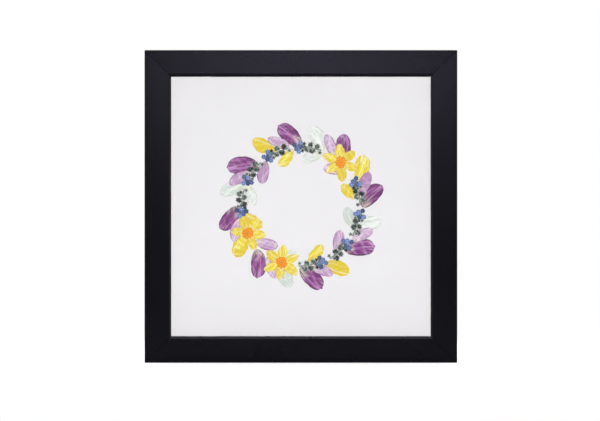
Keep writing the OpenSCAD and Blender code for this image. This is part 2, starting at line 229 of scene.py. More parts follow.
def seen_directly(tree, toward):
    """1 for rays from the camera. Those that glass or metal sends on see 1 too, but less where they
    leave to the front: toward is their direction, and its Y is -1 straight to the front."""
    path = add(tree, "ShaderNodeLightPath").outputs
    unit = add(tree, "ShaderNodeVectorMath", {0: toward}, operation="NORMALIZE").outputs[0]
    along_y = add(tree, "ShaderNodeSeparateXYZ", {0: unit}).outputs["Y"]
    wall = spread(tree, along_y, -0.95, -0.4, FRONT_WALL, 1.0)
    sent_on = maths(tree, "MAXIMUM", path["Is Glossy Ray"], path["Is Transmission Ray"])
    return maths(tree, "MAXIMUM", path["Is Camera Ray"], maths(tree, "MULTIPLY", sent_on, wall))


world = bpy.data.worlds.new("white_room")
world.use_nodes = True
bpy.context.scene.world = world
sky = world.node_tree.nodes["Background"]
toward = add(world.node_tree, "ShaderNodeTexCoord").outputs["Generated"]
seen = seen_directly(world.node_tree, toward)
strength = spread(world.node_tree, seen, 0.0, 1.0, SKY_FILL, 1.0, smooth=False)
sky.inputs["Color"].default_value = (1, 1, 1, 1)
world.node_tree.links.new(strength, sky.inputs["Strength"])

floor_mesh = bpy.data.meshes.new("floor")
corners = np.array([(-1, -1, 0), (1, -1, 0), (1, 1, 0), (-1, 1, 0)]) * FLOOR_SIZE / 2
floor_mesh.from_pydata(corners.tolist(), [], [(0, 1, 2, 3)])
floor = bpy.data.objects.new("floor", floor_mesh)
bpy.context.scene.collection.objects.link(floor)

floor_material, tree, shader = new_material("pale_floor")
shader.inputs["Roughness"].default_value = 0.9
shader.inputs["Specular IOR Level"].default_value = 0.0
shader.inputs["Emission Color"].default_value = (1, 1, 1, 1)
spot = object_place(tree)
away = add(tree, "ShaderNodeVectorMath", {0: spot}, operation="LENGTH").outputs["Value"]
glow = spread(tree, away, GLOW_FROM, GLOW_TO, GLOW_BELOW, 1.0)
paleness = spread(tree, away, GLOW_FROM, GLOW_TO, PALENESS_BELOW, 0.0)
feed(tree, shader.inputs["Base Color"], paleness)
# Seen from half a metre behind the object, all of the floor before the frame lies to the front
from_behind = add(tree, "ShaderNodeVectorMath", {0: spot, 1: (0, -0.5, 0)}).outputs[0]
feed(tree, shader.inputs["Emission Strength"],
     maths(tree, "MULTIPLY", seen_directly(tree, from_behind), glow))
floor_mesh.materials.append(floor_material)
print("floor of", FLOOR_SIZE, "m, sky fill", SKY_FILL)

# %% [markdown]
# ## Lamps
# A picture behind glass is lit from close to the camera, so that the deep lip throws no shadow on
# the paper. That lamp would mirror in the glass, so only matte surfaces receive it. The satin
# lacquer gets its own lamps, which only glossy surfaces receive: a small strip over the camera
# shows most in the top rail and least in the bottom one, and the panels show in the bevels and
# in the metal. One lamp overhead and two behind keep the top and the back readable.

# %% Place the lamps
def softbox(name, place, size, level, lights="all"):
    """A rectangular lamp that faces the middle of the frame. level is the light that it adds to a
    white sheet facing it: 1 renders a colour as written. A lamp of power P at distance d gives
    P / (pi * d)^2, so P is level * (pi * d)^2. lights says which surfaces it reaches: all, only
    matte ones, or only the gloss of shiny ones."""
    place = np.array(place, float)
    toward = np.array([0, 0, MIDDLE]) - place
    distance = np.linalg.norm(toward)
    data = bpy.data.lights.new(name, "AREA")
    data.shape = "RECTANGLE"
    data.size, data.size_y = size
    data.energy = level * (np.pi * distance) ** 2
    lamp = bpy.data.objects.new(name, data)
    bpy.context.scene.collection.objects.link(lamp)
    lamp.location = place
    heading, rise = np.arctan2(toward[1], toward[0]), np.arcsin(toward[2] / distance)
    lamp.rotation_euler = (np.pi / 2 + rise, 0, heading - np.pi / 2)
    lamp.visible_camera = False
    lamp.visible_glossy = lamp.visible_transmission = lights != "matte"
    lamp.visible_diffuse = lights != "gloss"
    print(name, "power", round(data.energy, 1), "W")


softbox("lamp_by_camera", (0.02, -3.8, 0.24), (0.2, 0.2), 0.915, lights="matte")
softbox("strip_above_camera", (0.005, -1.25, 0.342), (0.34, 0.067), 0.053, lights="gloss")
softbox("panel_left", (-1.4, -0.5, 0.5), (0.8, 1.2), 0.08, lights="gloss")
softbox("panel_right", (1.4, -0.5, 0.5), (0.8, 1.2), 0.08, lights="gloss")
softbox("panel_above", (0, -0.75, 1.5), (1.2, 0.9), 0.45, lights="gloss")
softbox("lamp_overhead", (0.1, 0.5, 2.1), (1.2, 0.6), 0.45)
softbox("lamp_behind_left", (-1.6, 1.7, 1.9), (1.6, 1.6), 0.50)
softbox("lamp_behind_right", (1.7, 1.5, 1.5), (1.4, 1.4), 0.35)

# %% [markdown]
# ## Helpers for surfaces
# Every new piece is a grid of points: rows of loops stacked along the piece. numpy works out all
# the points at once, and the corner numbers of the faces follow from the shape of the grid.

# %% Number the corners of the faces
def strip_faces(copies, rows, cols, wrap):
    """Quads of a number of equal grids. wrap joins the last column to the first one."""
    row = np.arange(rows - 1)[:, None]
    col = np.arange(cols if wrap else cols - 1)[None, :]
    here = row * cols + col
    side = row * cols + (col + 1) % cols
    quads = np.stack([here, side, side + cols, here + cols], -1).reshape(-1, 4)
    return (np.arange(copies)[:, None, None] * rows * cols + quads).reshape(-1, 4)


def strip_uv(uv):
    """The same quads' texture places: uv has one more column than a wrapped grid has."""
    return np.stack([uv[:, :-1, :-1], uv[:, :-1, 1:], uv[:, 1:, 1:], uv[:, 1:, :-1]],
                    -2).reshape(-1, 4, 2)


def stack_of_loops(points, uv=None):
    """A closed shell: copies x rows x columns of points, joined round, with each end closed by one
    flat face. Returns points, blocks of faces and blocks of texture places."""
    copies, rows, cols, _ = points.shape
    start = np.arange(copies)[:, None] * rows * cols
    ends = [start + np.arange(cols)[::-1], start + (rows - 1) * cols + np.arange(cols)]
    faces = [strip_faces(copies, rows, cols, True)] + ends
    places = None
    if uv is not None:
        places = [strip_uv(uv), uv[:, 0, :-1][:, ::-1], uv[:, -1, :-1]]
    return points.reshape(-1, 3), faces, places


cube = [[[(0, 0, z), (1, 0, z), (1, 1, z), (0, 1, z)] for z in (0, 1)]]
cube_points, cube_faces, _ = stack_of_loops(np.array(cube))
print("two loops of four points make", sum(len(block) for block in cube_faces), "faces")

# %% [markdown]
# A mesh has to know which side of it is out, and every piece has to ride on the body that carries
# it. The volume inside a closed shell comes out positive when its faces point outwards, so its
# sign says whether the faces have to be turned over.

# %% Make pieces
def volume(points, faces):
    """The sum of a . (b x c) / 6 over the triangles of every face."""
    total = 0.0
    for block in faces:
        for k in range(1, block.shape[1] - 1):
            a, b, c = points[block[:, 0]], points[block[:, k]], points[block[:, k + 1]]
            total += np.einsum("ij,ij->", a, np.cross(b, c))
    return total / 6


def new_piece(name, body, material, points, faces, uv=None, marks=None, crease=40):
    """Makes a mesh object that rides on a body. marks are named values, one for each point."""
    mesh = bpy.data.meshes.new(name)
    mesh.from_pydata(points.tolist(), [], [f for block in faces for f in block.tolist()])
    if uv is not None:
        corner_uv = np.concatenate([block.reshape(-1, 2) for block in uv])
        mesh.uv_layers.new(name="UVMap").data.foreach_set("uv", corner_uv.ravel())
    for mark, values in (marks or {}).items():
        layer = mesh.attributes.new(mark, "FLOAT", "POINT")
        layer.data.foreach_set("value", np.asarray(values, np.float32).ravel())
    mesh.shade_smooth()
    mesh.set_sharp_from_angle(angle=np.radians(crease))
    mesh.materials.append(material)
    made = bpy.data.objects.new(name, mesh)
    bpy.context.scene.collection.objects.link(made)
    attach(made, body)
    print(name, len(points), "points", len(mesh.polygons), "faces")
    return made


def closed_piece(name, body, material, shells, marks=None, crease=40):
    """Joins closed shells into one piece, with every face turned outwards."""
    points, faces, uv, start = [], [], [], 0
    for shell_points, shell_faces, shell_uv in shells:
        turn = slice(None, None, -1 if volume(shell_points, shell_faces) < 0 else 1)
        faces += [block[:, turn] + start for block in shell_faces]
        if shell_uv is not None:
            uv += [block[:, turn] for block in shell_uv]
        points.append(shell_points)
        start += len(shell_points)
    return new_piece(name, body, material, np.concatenate(points), faces, uv or None,
                     marks, crease)


print("a cube of one metre holds", volume(cube_points, cube_faces), "cubic metre")

# %% [markdown]
# ## Moulding
# A frame's moulding is one long stick with a carved section, cut into four at 45 degrees. The
# CAD rails have that section with sharp edges. Lacquer softens every edge a little, and a sliver
# of shadow stays in each mitre, so the rails are built again here: the section with eased
# corners is carried along each side, and the last loop at each end is a smaller section, which
# leaves a narrow V between two rails.

# %% Describe the section of the moulding
RAIL_W = 25 * MM
BEVEL = 2 * MM
LIP = 5 * MM
REBATE = 19.25 * MM
DEPTH = BACK_Y - FACE_Y
# Corners as (from the outer edge, from the face), beginning in the corner of the rebate
SECTION = np.array([[REBATE, LIP], [REBATE, DEPTH], [0, DEPTH], [0, 0],
                    [RAIL_W - BEVEL, 0], [RAIL_W, BEVEL], [RAIL_W, LIP]])
# The radius at each corner
EASING = np.array([0.2, 0.3, 0.5, 1.0, 1.8, 0.5, 0.3]) * MM
# A point this far beyond each arc keeps the shading of the flats flat
REST = 0.3 * MM


def eased(corners, radii, steps=5):
    """Each corner becomes an arc that is tangent to both of its edges. With e and f the unit
    vectors to the neighbours and h half the angle between them, the arc starts r / tan(h) along e
    and its centre is r / sin(h) along their bisector."""
    e = np.roll(corners, 1, 0) - corners
    f = np.roll(corners, -1, 0) - corners
    e /= np.linalg.norm(e, axis=1)[:, None]
    f /= np.linalg.norm(f, axis=1)[:, None]
    h = np.arccos(np.clip((e * f).sum(1), -1, 1)) / 2
    bisector = (e + f) / np.linalg.norm(e + f, axis=1)[:, None]
    centre = corners + bisector * (radii / np.sin(h))[:, None]
    reach = (radii / np.tan(h))[:, None]
    first, last = corners + e * reach - centre, corners + f * reach - centre
    start = np.arctan2(first[:, 1], first[:, 0])
    turn = np.arctan2(last[:, 1], last[:, 0]) - start
    turn = (turn + np.pi) % (2 * np.pi) - np.pi
    angle = start[:, None] + turn[:, None] * np.linspace(0, 1, steps)
    arc = centre[:, None] + radii[:, None, None] * np.stack([np.cos(angle), np.sin(angle)], -1)
    before, after = corners + e * (reach + REST), corners + f * (reach + REST)
    return np.concatenate([before[:, None], arc, after[:, None]], 1).reshape(-1, 2)


def moved_in(corners, amount):
    """Every edge moved inwards: a corner moves by (n + m) * amount / (1 + n . m), where n and m are
    the inward normals of its two edges."""
    edge = np.roll(corners, -1, 0) - corners
    edge /= np.linalg.norm(edge, axis=1)[:, None]
    area = np.cross(corners, np.roll(corners, -1, 0)).sum()
    m = np.stack([-edge[:, 1], edge[:, 0]], 1) * np.sign(area)
    n = np.roll(m, 1, 0)
    return corners + (n + m) * amount / (1 + (n * m).sum(1))[:, None]


section = eased(SECTION, EASING)
print("section has", len(section), "points")

# %% [markdown]
# ## Lacquer
# The face and sides are sprayed with black satin lacquer, through which the grain of the wood
# still telegraphs as fine lines along each rail. Lines spread a reflection across themselves. The
# light comes from above, so it is spread on the level rails and stays sharp on the upright
# ones, and two rails that meet at a mitre differ in tone: here the upright ones are given a
# little less roughness. The back and the rebate are bare wood. Values stored on the points say
# which is which. The walls of the narrow V in each mitre get a second finish, a glossless near
# black that is painted shade, because next to no light comes back out of it.

# %% Draw the grain
def grain_group():
    """Lines along the first texture axis: a noise that is stretched nearly a hundredfold."""
    group, given, out = new_group("wood_grain", {"Place": VECTOR, "Across": NUMBER},
                                  {"Lines": NUMBER, "Rings": NUMBER})
    along = maths(group, "MULTIPLY", given.outputs["Across"], 0.012)
    scale = add(group, "ShaderNodeCombineXYZ", {0: along, 1: given.outputs["Across"], 2: 1.0})
    place = add(group, "ShaderNodeVectorMath", {0: given.outputs["Place"], 1: scale.outputs[0]},
                operation="MULTIPLY").outputs[0]
    group.links.new(noise(group, place, 1.0, 5.0, 0.65), out.inputs["Lines"])
    wide = stretched(group, place, (0.5, 0.16, 1.0))
    group.links.new(noise(group, wide, 1.0, 2.0, 0.5, 0.6), out.inputs["Rings"])
    return group


GRAIN = grain_group()
print(GRAIN.name, len(GRAIN.nodes), "nodes")

# %% [markdown]
# One material serves the whole rail. A mark on the points, made ragged by a noise as the edge of
# sprayed lacquer is, chooses between lacquer and wood.

# %% Mix the lacquer and the bare wood
# Lines per metre across the grain, under the lacquer and on bare wood
FINE_GRAIN, COARSE_GRAIN = 1700, 700
SATIN = 0.275
UPRIGHT_SHARPER = 0.025


def moulding_material():
    """Black satin lacquer over wood, and bare wood where the mark bare is 1. The mark upright is 1
    on the two upright rails."""
    material, tree, shader = new_material("moulding_lacquer")
    place = add(tree, "ShaderNodeUVMap", uv_map="UVMap").outputs[0]
    grain, wood = [add(tree, "ShaderNodeGroup", {"Place": place, "Across": across},
                       node_tree=GRAIN).outputs for across in (FINE_GRAIN, COARSE_GRAIN)]
    spot = object_place(tree)
    ragged = maths(tree, "SUBTRACT", noise(tree, spot, 900, 4), 0.5)
    ragged = maths(tree, "MULTIPLY_ADD", ragged, 0.5, attribute(tree, "bare"))
    is_bare = spread(tree, ragged, 0.42, 0.58)
    clouds = noise(tree, spot, 35, 3)
    black = mix(tree, clouds, srgb("040405"), srgb("070708"))
    pale = mix(tree, spread(tree, wood["Rings"], 0.35, 0.65), srgb("c4a076"), srgb("a0764c"))
    pale = mix(tree, spread(tree, wood["Lines"], 0.5, 0.75, 0.0, 0.5), pale, srgb("7a5434"))
    satin = spread(tree, clouds, 0.3, 0.7, SATIN - 0.003, SATIN + 0.003)
    satin = maths(tree, "MULTIPLY_ADD", attribute(tree, "upright"), -UPRIGHT_SHARPER, satin)
    rough = mix(tree, is_bare, satin, (0.75, 0.75, 0.75, 1))
    height = maths(tree, "MULTIPLY", grain["Lines"], spread(tree, is_bare, 0.0, 1.0, 1.0, 25.0))
    dress(tree, shader, mix(tree, is_bare, black, pale), rough, level=0.25, height=height,
          strength=0.015, depth=0.12)
    shader.inputs["Specular Tint"].default_value = (0.76, 0.71, 1.0, 1)
    return material


def speckled(name, dark, light, scale, rough, strength=0.1, depth=0.05, level=0.3):
    """A plain finish with soft speckles: colour, roughness and height share one noise."""
    material, tree, shader = new_material(name)
    dark, light = srgb(dark), srgb(light)
    spot = object_place(tree)
    fine = noise(tree, spot, scale, 4, 0.6)
    broad = noise(tree, spot, scale / 9, 2)
    colour = mix(tree, spread(tree, fine, 0.3, 0.7), dark, light)
    colour = mix(tree, spread(tree, broad, 0.3, 0.7, 0.0, 0.35), colour, dark)
    rough = spread(tree, broad, 0.3, 0.7, rough - 0.05, rough + 0.05)
    dress(tree, shader, colour, rough, level, fine, strength, depth)
    return material


MOULDING = moulding_material()
# Painted shade for the walls of the V in each mitre: near black, with no gloss
MITRE_SHADOW = speckled("mitre_shadow", "050505", "0c0b0b", 3000, 0.9, level=0.0)
print(MOULDING.name, "and", MITRE_SHADOW.name)

# %% [markdown]
# Now the rails themselves. A point of the section that is a metres from the outer edge meets the
# mitre at x = half the width - a, so one section serves every loop, only shifted along the rail.

# %% Carry the section along the four sides
MITRE_GAP, MITRE_DEPTH = 0.22 * MM, 0.6 * MM
# Each rail is cut from a stretch of the stick this much further along, in metres
CUT_FROM = 0.9


def turned(points, side):
    """The bottom side's points turned to another side: 0 bottom, 1 left, 2 top, 3 right."""
    cos, sin = [(1, 0), (0, 1), (-1, 0), (0, -1)][side]
    x, z = points[..., 0], points[..., 2] - MIDDLE
    return np.stack([x * cos + z * sin, points[..., 1], MIDDLE - x * sin + z * cos], -1)


def moulding_rail(side):
    """Loops at 0, one gap and a rest more from each mitre; the first is the smaller section.
    Returns the shell and which of its points are bare wood."""
    inset = np.array([0, MITRE_GAP, MITRE_GAP + REST])
    smaller = eased(moved_in(SECTION, MITRE_DEPTH), np.maximum(EASING - MITRE_DEPTH, 0.1 * MM))
    loops = np.stack([smaller, section, section])
    x = MIDDLE - loops[..., 0] - inset[:, None]
    half = np.stack([-x, FACE_Y + loops[..., 1], loops[..., 0]], -1)
    other = half[::-1] * [-1, 1, 1]
    points = turned(np.concatenate([half, other]), side)[None]
    edges = np.linalg.norm(np.roll(section, -1, 0) - section, axis=1)
    around = np.concatenate([[0], np.cumsum(edges)])
    along = np.concatenate([half[..., 0], other[..., 0]])
    along = np.concatenate([along, along[:, :1]], 1)
    uv = np.stack([along + CUT_FROM * side, np.broadcast_to(around, along.shape)], -1)[None]
    in_rebate = (section[:, 0] > REBATE - 0.1 * MM) & (section[:, 1] > LIP - 0.05 * MM)
    on_back = section[:, 1] > DEPTH - 0.2 * MM
    return stack_of_loops(points, uv), np.tile(in_rebate | on_back, len(points[0]))


for side, where in enumerate(["bottom", "left", "top", "right"]):
    shell, bare = moulding_rail(side)
    rail = closed_piece(f"moulding_{where}", "frame", MOULDING, [shell],
                        {"bare": bare, "upright": np.full(len(bare), side % 2)}, crease=50)
    # The two ends and the first and last strips of faces line the V of a mitre and get painted
    # shade
    rail.data.materials.append(MITRE_SHADOW)
    in_mitre = np.zeros(len(rail.data.polygons), int)
    in_mitre[:len(section)] = in_mitre[4 * len(section):] = 1
    rail.data.polygons.foreach_set("material_index", in_mitre)
    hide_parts(f"{where}_rail")

# %% [markdown]
# ## Glass and spacers
# The pane is plain float glass. A camera ray bends through it, but light should simply pass, or
# the sheet behind would stay dark: for shadow and diffuse rays the glass is mixed with a
# transparent shader. The spacers are matte black strips that hold it off the flowers.

# %% Finish the glass and the spacers
def finish(node, material):
    """Gives a CAD node's solid a new finish."""
    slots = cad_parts[node].data.materials
    slots.clear()
    slots.append(material)


def glass_material():
    """Clear, perfectly smooth glass with a faint green-grey tint."""
    material, tree, shader = new_material("picture_glass")
    shader.inputs["Base Color"].default_value = (0.985, 0.995, 0.99, 1)
    shader.inputs["Roughness"].default_value = 0.0
    shader.inputs["IOR"].default_value = 1.45
    shader.inputs["Specular IOR Level"].default_value = 0.1
    shader.inputs["Transmission Weight"].default_value = 1.0
    path = add(tree, "ShaderNodeLightPath").outputs
    through = maths(tree, "MAXIMUM", path["Is Shadow Ray"], path["Is Diffuse Ray"])
    clear = add(tree, "ShaderNodeBsdfTransparent")
    both = add(tree, "ShaderNodeMixShader", {0: through, 1: shader.outputs[0],
                                             2: clear.outputs[0]})
    tree.links.new(both.outputs[0], tree.nodes["Material Output"].inputs["Surface"])
    return material


finish("glazing", glass_material())
spacer_black = speckled("spacer_black", "0e0e0f", "1e1e20", 900, 0.8)
for where in ("top", "bottom", "left", "right"):
    finish(f"spacer_{where}", spacer_black)
print("glass and spacers finished")

# %% [markdown]
# ## Paper and boards
# The flowers lie on heavy watercolour paper. Its cold-pressed surface has low hills about a
# millimetre across, which even light hardly shows, so they are a bump, and their low places are
# painted a little darker as painted shade. The boards behind it are seen at their edges alone when
# the back is taken out.

# %% Finish the paper and the boards
def paper_material():
    """Cold-pressed paper: hills of a millimetre, finer fibres, and a very faint cloudiness."""
    material, tree, shader = new_material("watercolour_paper")
    spot = object_place(tree)
    hills = noise(tree, spot, 700, 3, 0.5)
    fibres = noise(tree, stretched(tree, spot, (1.0, 1.0, 2.2)), 2600, 3, 0.6)
    clouds = spread(tree, noise(tree, spot, 30, 2), 0.3, 0.7)
    colour = mix(tree, clouds, (0.852, 0.832, 0.858, 1), (0.865, 0.845, 0.872, 1))
    # Painted shade: the low places of the hills are mixed up to a tenth towards grey
    colour = mix(tree, spread(tree, hills, 0.3, 0.5, 0.1, 0.0), colour, (0.78, 0.76, 0.77, 1))
    height = maths(tree, "MULTIPLY_ADD", fibres, 0.3, hills)
    dress(tree, shader, colour, 0.9, level=0.0, height=height, strength=0.2, depth=0.1)
    return material


def hardboard_material(name, face, fleck, edge):
    """Pressed wood fibre: short flecks on a smooth face, and a paler, fluffy sawn edge. The two
    differ by the way the surface faces: Y on the faces, X or Z on the edges."""
    material, tree, shader = new_material(name)
    face, fleck, edge = srgb(face), srgb(fleck), srgb(edge)
    spot = object_place(tree)
    flecks = noise(tree, stretched(tree, spot, (1.0, 1.0, 3.0)), 700, 4, 0.7, 1.0)
    dust = noise(tree, spot, 3500, 2)
    colour = mix(tree, spread(tree, flecks, 0.45, 0.7), face, fleck)
    colour = mix(tree, spread(tree, noise(tree, spot, 25, 3), 0.35, 0.7, 0.0, 0.3), colour, fleck)
    normal = add(tree, "ShaderNodeNewGeometry").outputs["True Normal"]
    facing = maths(tree, "ABSOLUTE", add(tree, "ShaderNodeSeparateXYZ", {0: normal}).outputs["Y"])
    sawn = mix(tree, spread(tree, dust, 0.3, 0.7), edge, fleck)
    colour = mix(tree, spread(tree, facing, 0.4, 0.8), sawn, colour)
    rough = spread(tree, flecks, 0.3, 0.8, 0.5, 0.75)
    height = maths(tree, "MULTIPLY_ADD", dust, 0.4, flecks)
    dress(tree, shader, colour, rough, level=0.3, height=height, strength=0.25, depth=0.1)
    return material


finish("art_paper", paper_material())
finish("mount_board", speckled("mount_board_white", "e2dfd6", "f0eee7", 1500, 0.85))
finish("filler_board", speckled("filler_foam", "e8e8e6", "f6f6f4", 2200, 0.8))
finish("backing_board", hardboard_material("backing_hardboard", "8c6544", "68472d", "a6805c"))
finish("strut_leg", hardboard_material("strut_hardboard", "262221", "191717", "78583e"))
print("paper and boards finished")

# %% [markdown]
# ## Layout of the wreath
# Three rings of petals lean along the wreath: a long outer ring, a short inner one that leans
# the other way, and pale petals across the gaps. A fixed small variation, the sine of the
# petal's number times 137.5 degrees, keeps neighbours from looking stamped.

# %% Lay out the petals
OUTER_RING, INNER_RING = 16, 12
# In mm
WREATH_R = 56
# Length and width in mm, where the belly lies, and how full the outline is
SHAPES = {"purple": [29, 15.5, 1.15, 2.2], "yellow": [27, 14.5, 1.35, 2.0],
          "white": [26, 14, 1.1, 2.0], "inner": [21, 11, 1.1, 2.1],
          "bridging": [22, 10.5, 1.0, 1.9], "tepal": [14.5, 9, 0.85, 1.7]}


def wobble(i):
    """A steady small variation from petal to petal, between -1 and 1."""
    return np.sin(np.radians(137.5 * np.asarray(i)))


def at_wreath(angle, radius, lean):
    """A place on the wreath, from its middle, and the direction that leans from the radial line."""
    a = np.radians(angle)
    place = np.asarray(radius)[..., None] * MM * np.stack([np.cos(a), np.sin(a)], -1)
    return place, a + np.radians(lean)


def outer_petal(i):
    """A long petal, 48 degrees off the radial line: its colour, base, direction and shape."""
    colour = ("purple", "yellow", "purple", "white")[i % 4]
    place, heading = at_wreath(360 / OUTER_RING * i, WREATH_R + 1, 48 + 3 * wobble(i))
    return colour, place, heading, np.array(SHAPES[colour]) * (1 + 0.04 * wobble(i + 5))


def inner_petal(i):
    """A short petal that leans the other way, 132 degrees off the radial line."""
    place, heading = at_wreath(360 / INNER_RING * i + 8, WREATH_R - 2, 132 + 2 * wobble(i))
    colour = ("yellow", "lilac", "white")[i % 3]
    return colour, place, heading, np.array(SHAPES["inner"]) * (1 + 0.03 * wobble(i + 2))


def bridging_petal(i):
    """A pale petal half way between two long ones, 60 degrees off the radial line."""
    place, heading = at_wreath(360 / OUTER_RING * (i + 0.5), WREATH_R + 2, 60 + 4 * wobble(i))
    return "lilac", place, heading, np.array(SHAPES["bridging"]) * (1 + 0.05 * wobble(i + 3))


petals = [outer_petal(i) for i in range(OUTER_RING)]
petals += [inner_petal(i) for i in range(INNER_RING)]
petals += [bridging_petal(i) for i in range(0, OUTER_RING, 2)]
print(len(petals), "petals")

# %% [markdown]
# ## The heap
# Pressed flowers lie over each other, and each one bends over what is beneath it. A map of the
# wreath remembers how high the heap already is. A new petal reads the map, spread out and
# blurred so that it bends instead of stepping, lies on it, and then raises it.

# %% Keep a height map of the heap
# The width of a cell, and how many cells lie along each side
CELL = 0.6 * MM
CELLS = 320
heap = np.zeros((CELLS, CELLS))


def softened(heights, reach=2, blur=1.6):
    """The highest value within reach cells, blurred. A Gaussian blur of b cells fades each wave
    of f turns per cell by exp(-2 (pi b f)^2), so it is a product in the Fourier transform."""
    high = heights
    for _ in range(reach):
        for axis in (0, 1):
            high = np.maximum(high, np.maximum(np.roll(high, 1, axis), np.roll(high, -1, axis)))
    fade = np.exp(-2 * (np.pi * blur * np.fft.fftfreq(CELLS)) ** 2)
    return np.fft.ifft2(np.fft.fft2(high) * fade[:, None] * fade).real


def height_under(x, z):
    """The softened heap at points of the wreath, between its cells by bilinear weights."""
    soft = softened(heap)
    i, j = x / CELL + CELLS / 2, z / CELL + CELLS / 2
    low_i, low_j = np.floor(i).astype(int), np.floor(j).astype(int)
    i, j = i - low_i, j - low_j
    return ((1 - i) * (1 - j) * soft[low_i, low_j] + i * (1 - j) * soft[low_i + 1, low_j]
            + (1 - i) * j * soft[low_i, low_j + 1] + i * j * soft[low_i + 1, low_j + 1])


def raise_heap(x, z, top):
    """Each cell that a point falls in rises to that point."""
    i, j = np.rint(x / CELL + CELLS / 2).astype(int), np.rint(z / CELL + CELLS / 2).astype(int)
    np.maximum.at(heap, (i, j), top)


def on_paper(x, z, height):
    """Points of the wreath as places in the frame, at a height in front of the paper."""
    return np.stack([x, PAPER_Y - height, MIDDLE + z], -1)


print("the map is", round(CELL * CELLS, 3), "m wide")

# %% [markdown]
# ## Petals
# A dried petal is a thin skin with an outline that is narrow at the base, fine veins, a curled
# rim, and creases where the press caught it. Its surface is a grid: one parameter runs along it,
# the other across. Solidify then gives the skin its thickness.

# %% Crease the skin
# In mm: height of creases, of lengthwise folds, of veins and of the curled rim, the frill of the
# outline, and the size of the largest creases
FEEL = {"purple": (0.50, 0.75, 0.05, 0.45, 0.10, 9.0),
        "lilac": (0.55, 0.95, 0.06, 0.40, 0.10, 8.0),
        "yellow": (0.90, 0.50, 0.03, 0.35, 0.25, 6.0),
        "white": (0.65, 0.55, 0.05, 0.35, 0.18, 7.5),
        "tepal": (0.80, 0.60, 0.04, 0.40, 0.14, 5.5)}
CREASES, FOLDS = 4, 2


def creases(rng, across, along, size):
    """Waves that run more or less along the petal, bent by slower ones. One minus the absolute
    sine has sharp ridges and wide hollows, as creased skin does. Each wave is finer and lower
    than the last."""
    total = 0
    for k in range(CREASES):
        turn = 0.8 * rng.standard_normal()
        shift, bend = rng.uniform(0, 2 * np.pi, 2)
        finer = size / 1.6 ** k
        run = (across * np.cos(turn) + along * np.sin(turn)) / finer
        side = (along * np.cos(turn) - across * np.sin(turn)) / finer
        wave = np.sin(np.pi * run + shift + 0.9 * np.sin(1.3 * side + bend))
        total = total + (1 - np.abs(wave)) ** 2 / 1.5 ** k
    return total / 1.8


def long_fold(rng, t, s):
    """A ridge of exp(-(d / breadth)^2) at distance d from a line that leans a little."""
    away = s - rng.uniform(-0.6, 0.6) - rng.uniform(-0.5, 0.5) * (t - 0.5)
    return np.exp(-(away / rng.uniform(0.05, 0.12)) ** 2)


print(len(FEEL), "kinds of skin")

# %% [markdown]
# The outline is the CAD model's, so that both agree from every side, and only its rim is nibbled.
# Creases, folds, veins and the curl of the rim are added to the height at which the heap carries
# the petal.

# %% Shape one petal
# Rows and columns of a petal's grid
LARGE, SMALL = (79, 39), (53, 27)
SKIN = 0.12 * MM


def petal_outline(rng, kind, shape, frill):
    """Half the width at share t of the length is width / 2 * sqrt(1 - |2 t^belly - 1|^fullness),
    as in the CAD model. One half is a little wider than the other, the middle line bows to a side,
    and the rim is nibbled inwards by slow waves. Returns t along and s across, from -1 to 1, the
    two in metres, and the phases of the waves."""
    rows, cols = SMALL if kind == "tepal" else LARGE
    length, width, belly, fullness = shape * [MM, MM, 1, 1]
    t = ((1 - np.cos(np.linspace(0.035, np.pi - 0.035, rows))) / 2)[:, None]
    s = np.linspace(-1, 1, cols)[None, :]
    half = width / 2 * np.sqrt(1 - np.abs(2 * t ** belly - 1) ** fullness)
    phase = rng.uniform(0, 2 * np.pi, (4, 2))
    side = (s > 0).astype(int)
    uneven, bent = rng.uniform(-1, 1, 2)
    nibble = sum(frill * np.sin((6 + 11 * k) * t + phase[k][side]) for k in range(3)) - 1.6 * frill
    across = s * half * (1 + 0.10 * uneven * s) + s ** 3 * nibble * np.sqrt(np.sin(np.pi * t))
    across = across + 0.05 * bent * length * ((2 * t - 1) ** 2 - 0.3)
    along = length * (t - 0.02 * t ** 8 * (1 + np.sin(3 * s + phase[3, 0])))
    return t, s, across, along, phase


def petal_surface(kind, place, heading, shape, seed):
    """The height over the heap is the sum of creases, folds, veins that fan out from the base, and
    the curl of the rim. Returns points, texture places and marks."""
    rng = np.random.default_rng(seed)
    crease, fold, vein, curl, frill, size = np.array(FEEL[kind]) * MM
    t, s, across, along, phase = petal_outline(rng, kind, shape, frill)
    width = shape[1] * MM
    creased = creases(rng, across, along, size)
    folds = sum(long_fold(rng, t, s) for _ in range(FOLDS))
    fan = across / width / (t + 0.35)
    veins = 1 - np.abs(np.sin(22 * fan + 0.7 * np.sin(6 * t + phase[3, 1])))
    ease = np.sqrt(np.sin(np.pi * t))
    lift = (crease * creased + fold * folds + vein * veins) * ease * (1 - 0.5 * s ** 4)
    lift = lift + curl * s ** 4 * (0.5 + 0.5 * np.sin(4 * t + phase[0, 0])) * ease
    x = place[0] + across * np.sin(heading) + along * np.cos(heading)
    z = place[1] - across * np.cos(heading) + along * np.sin(heading)
    height = height_under(x, z) + lift + 1.5 * SKIN
    raise_heap(x, z, height)
    uv = np.stack([across / (width / 2), t * np.ones_like(s)], -1)
    marks = {"relief": np.clip(0.55 * creased + 0.35 * folds + 0.25 * veins, 0, 1),
             "rim": np.maximum(np.abs(s), 1 - 6 * np.minimum(t, 1 - t)),
             "tone": np.full(x.shape, rng.uniform())}
    return on_paper(x, z, height), uv, marks


print("a petal has", np.prod(LARGE), "points, a tepal", np.prod(SMALL))
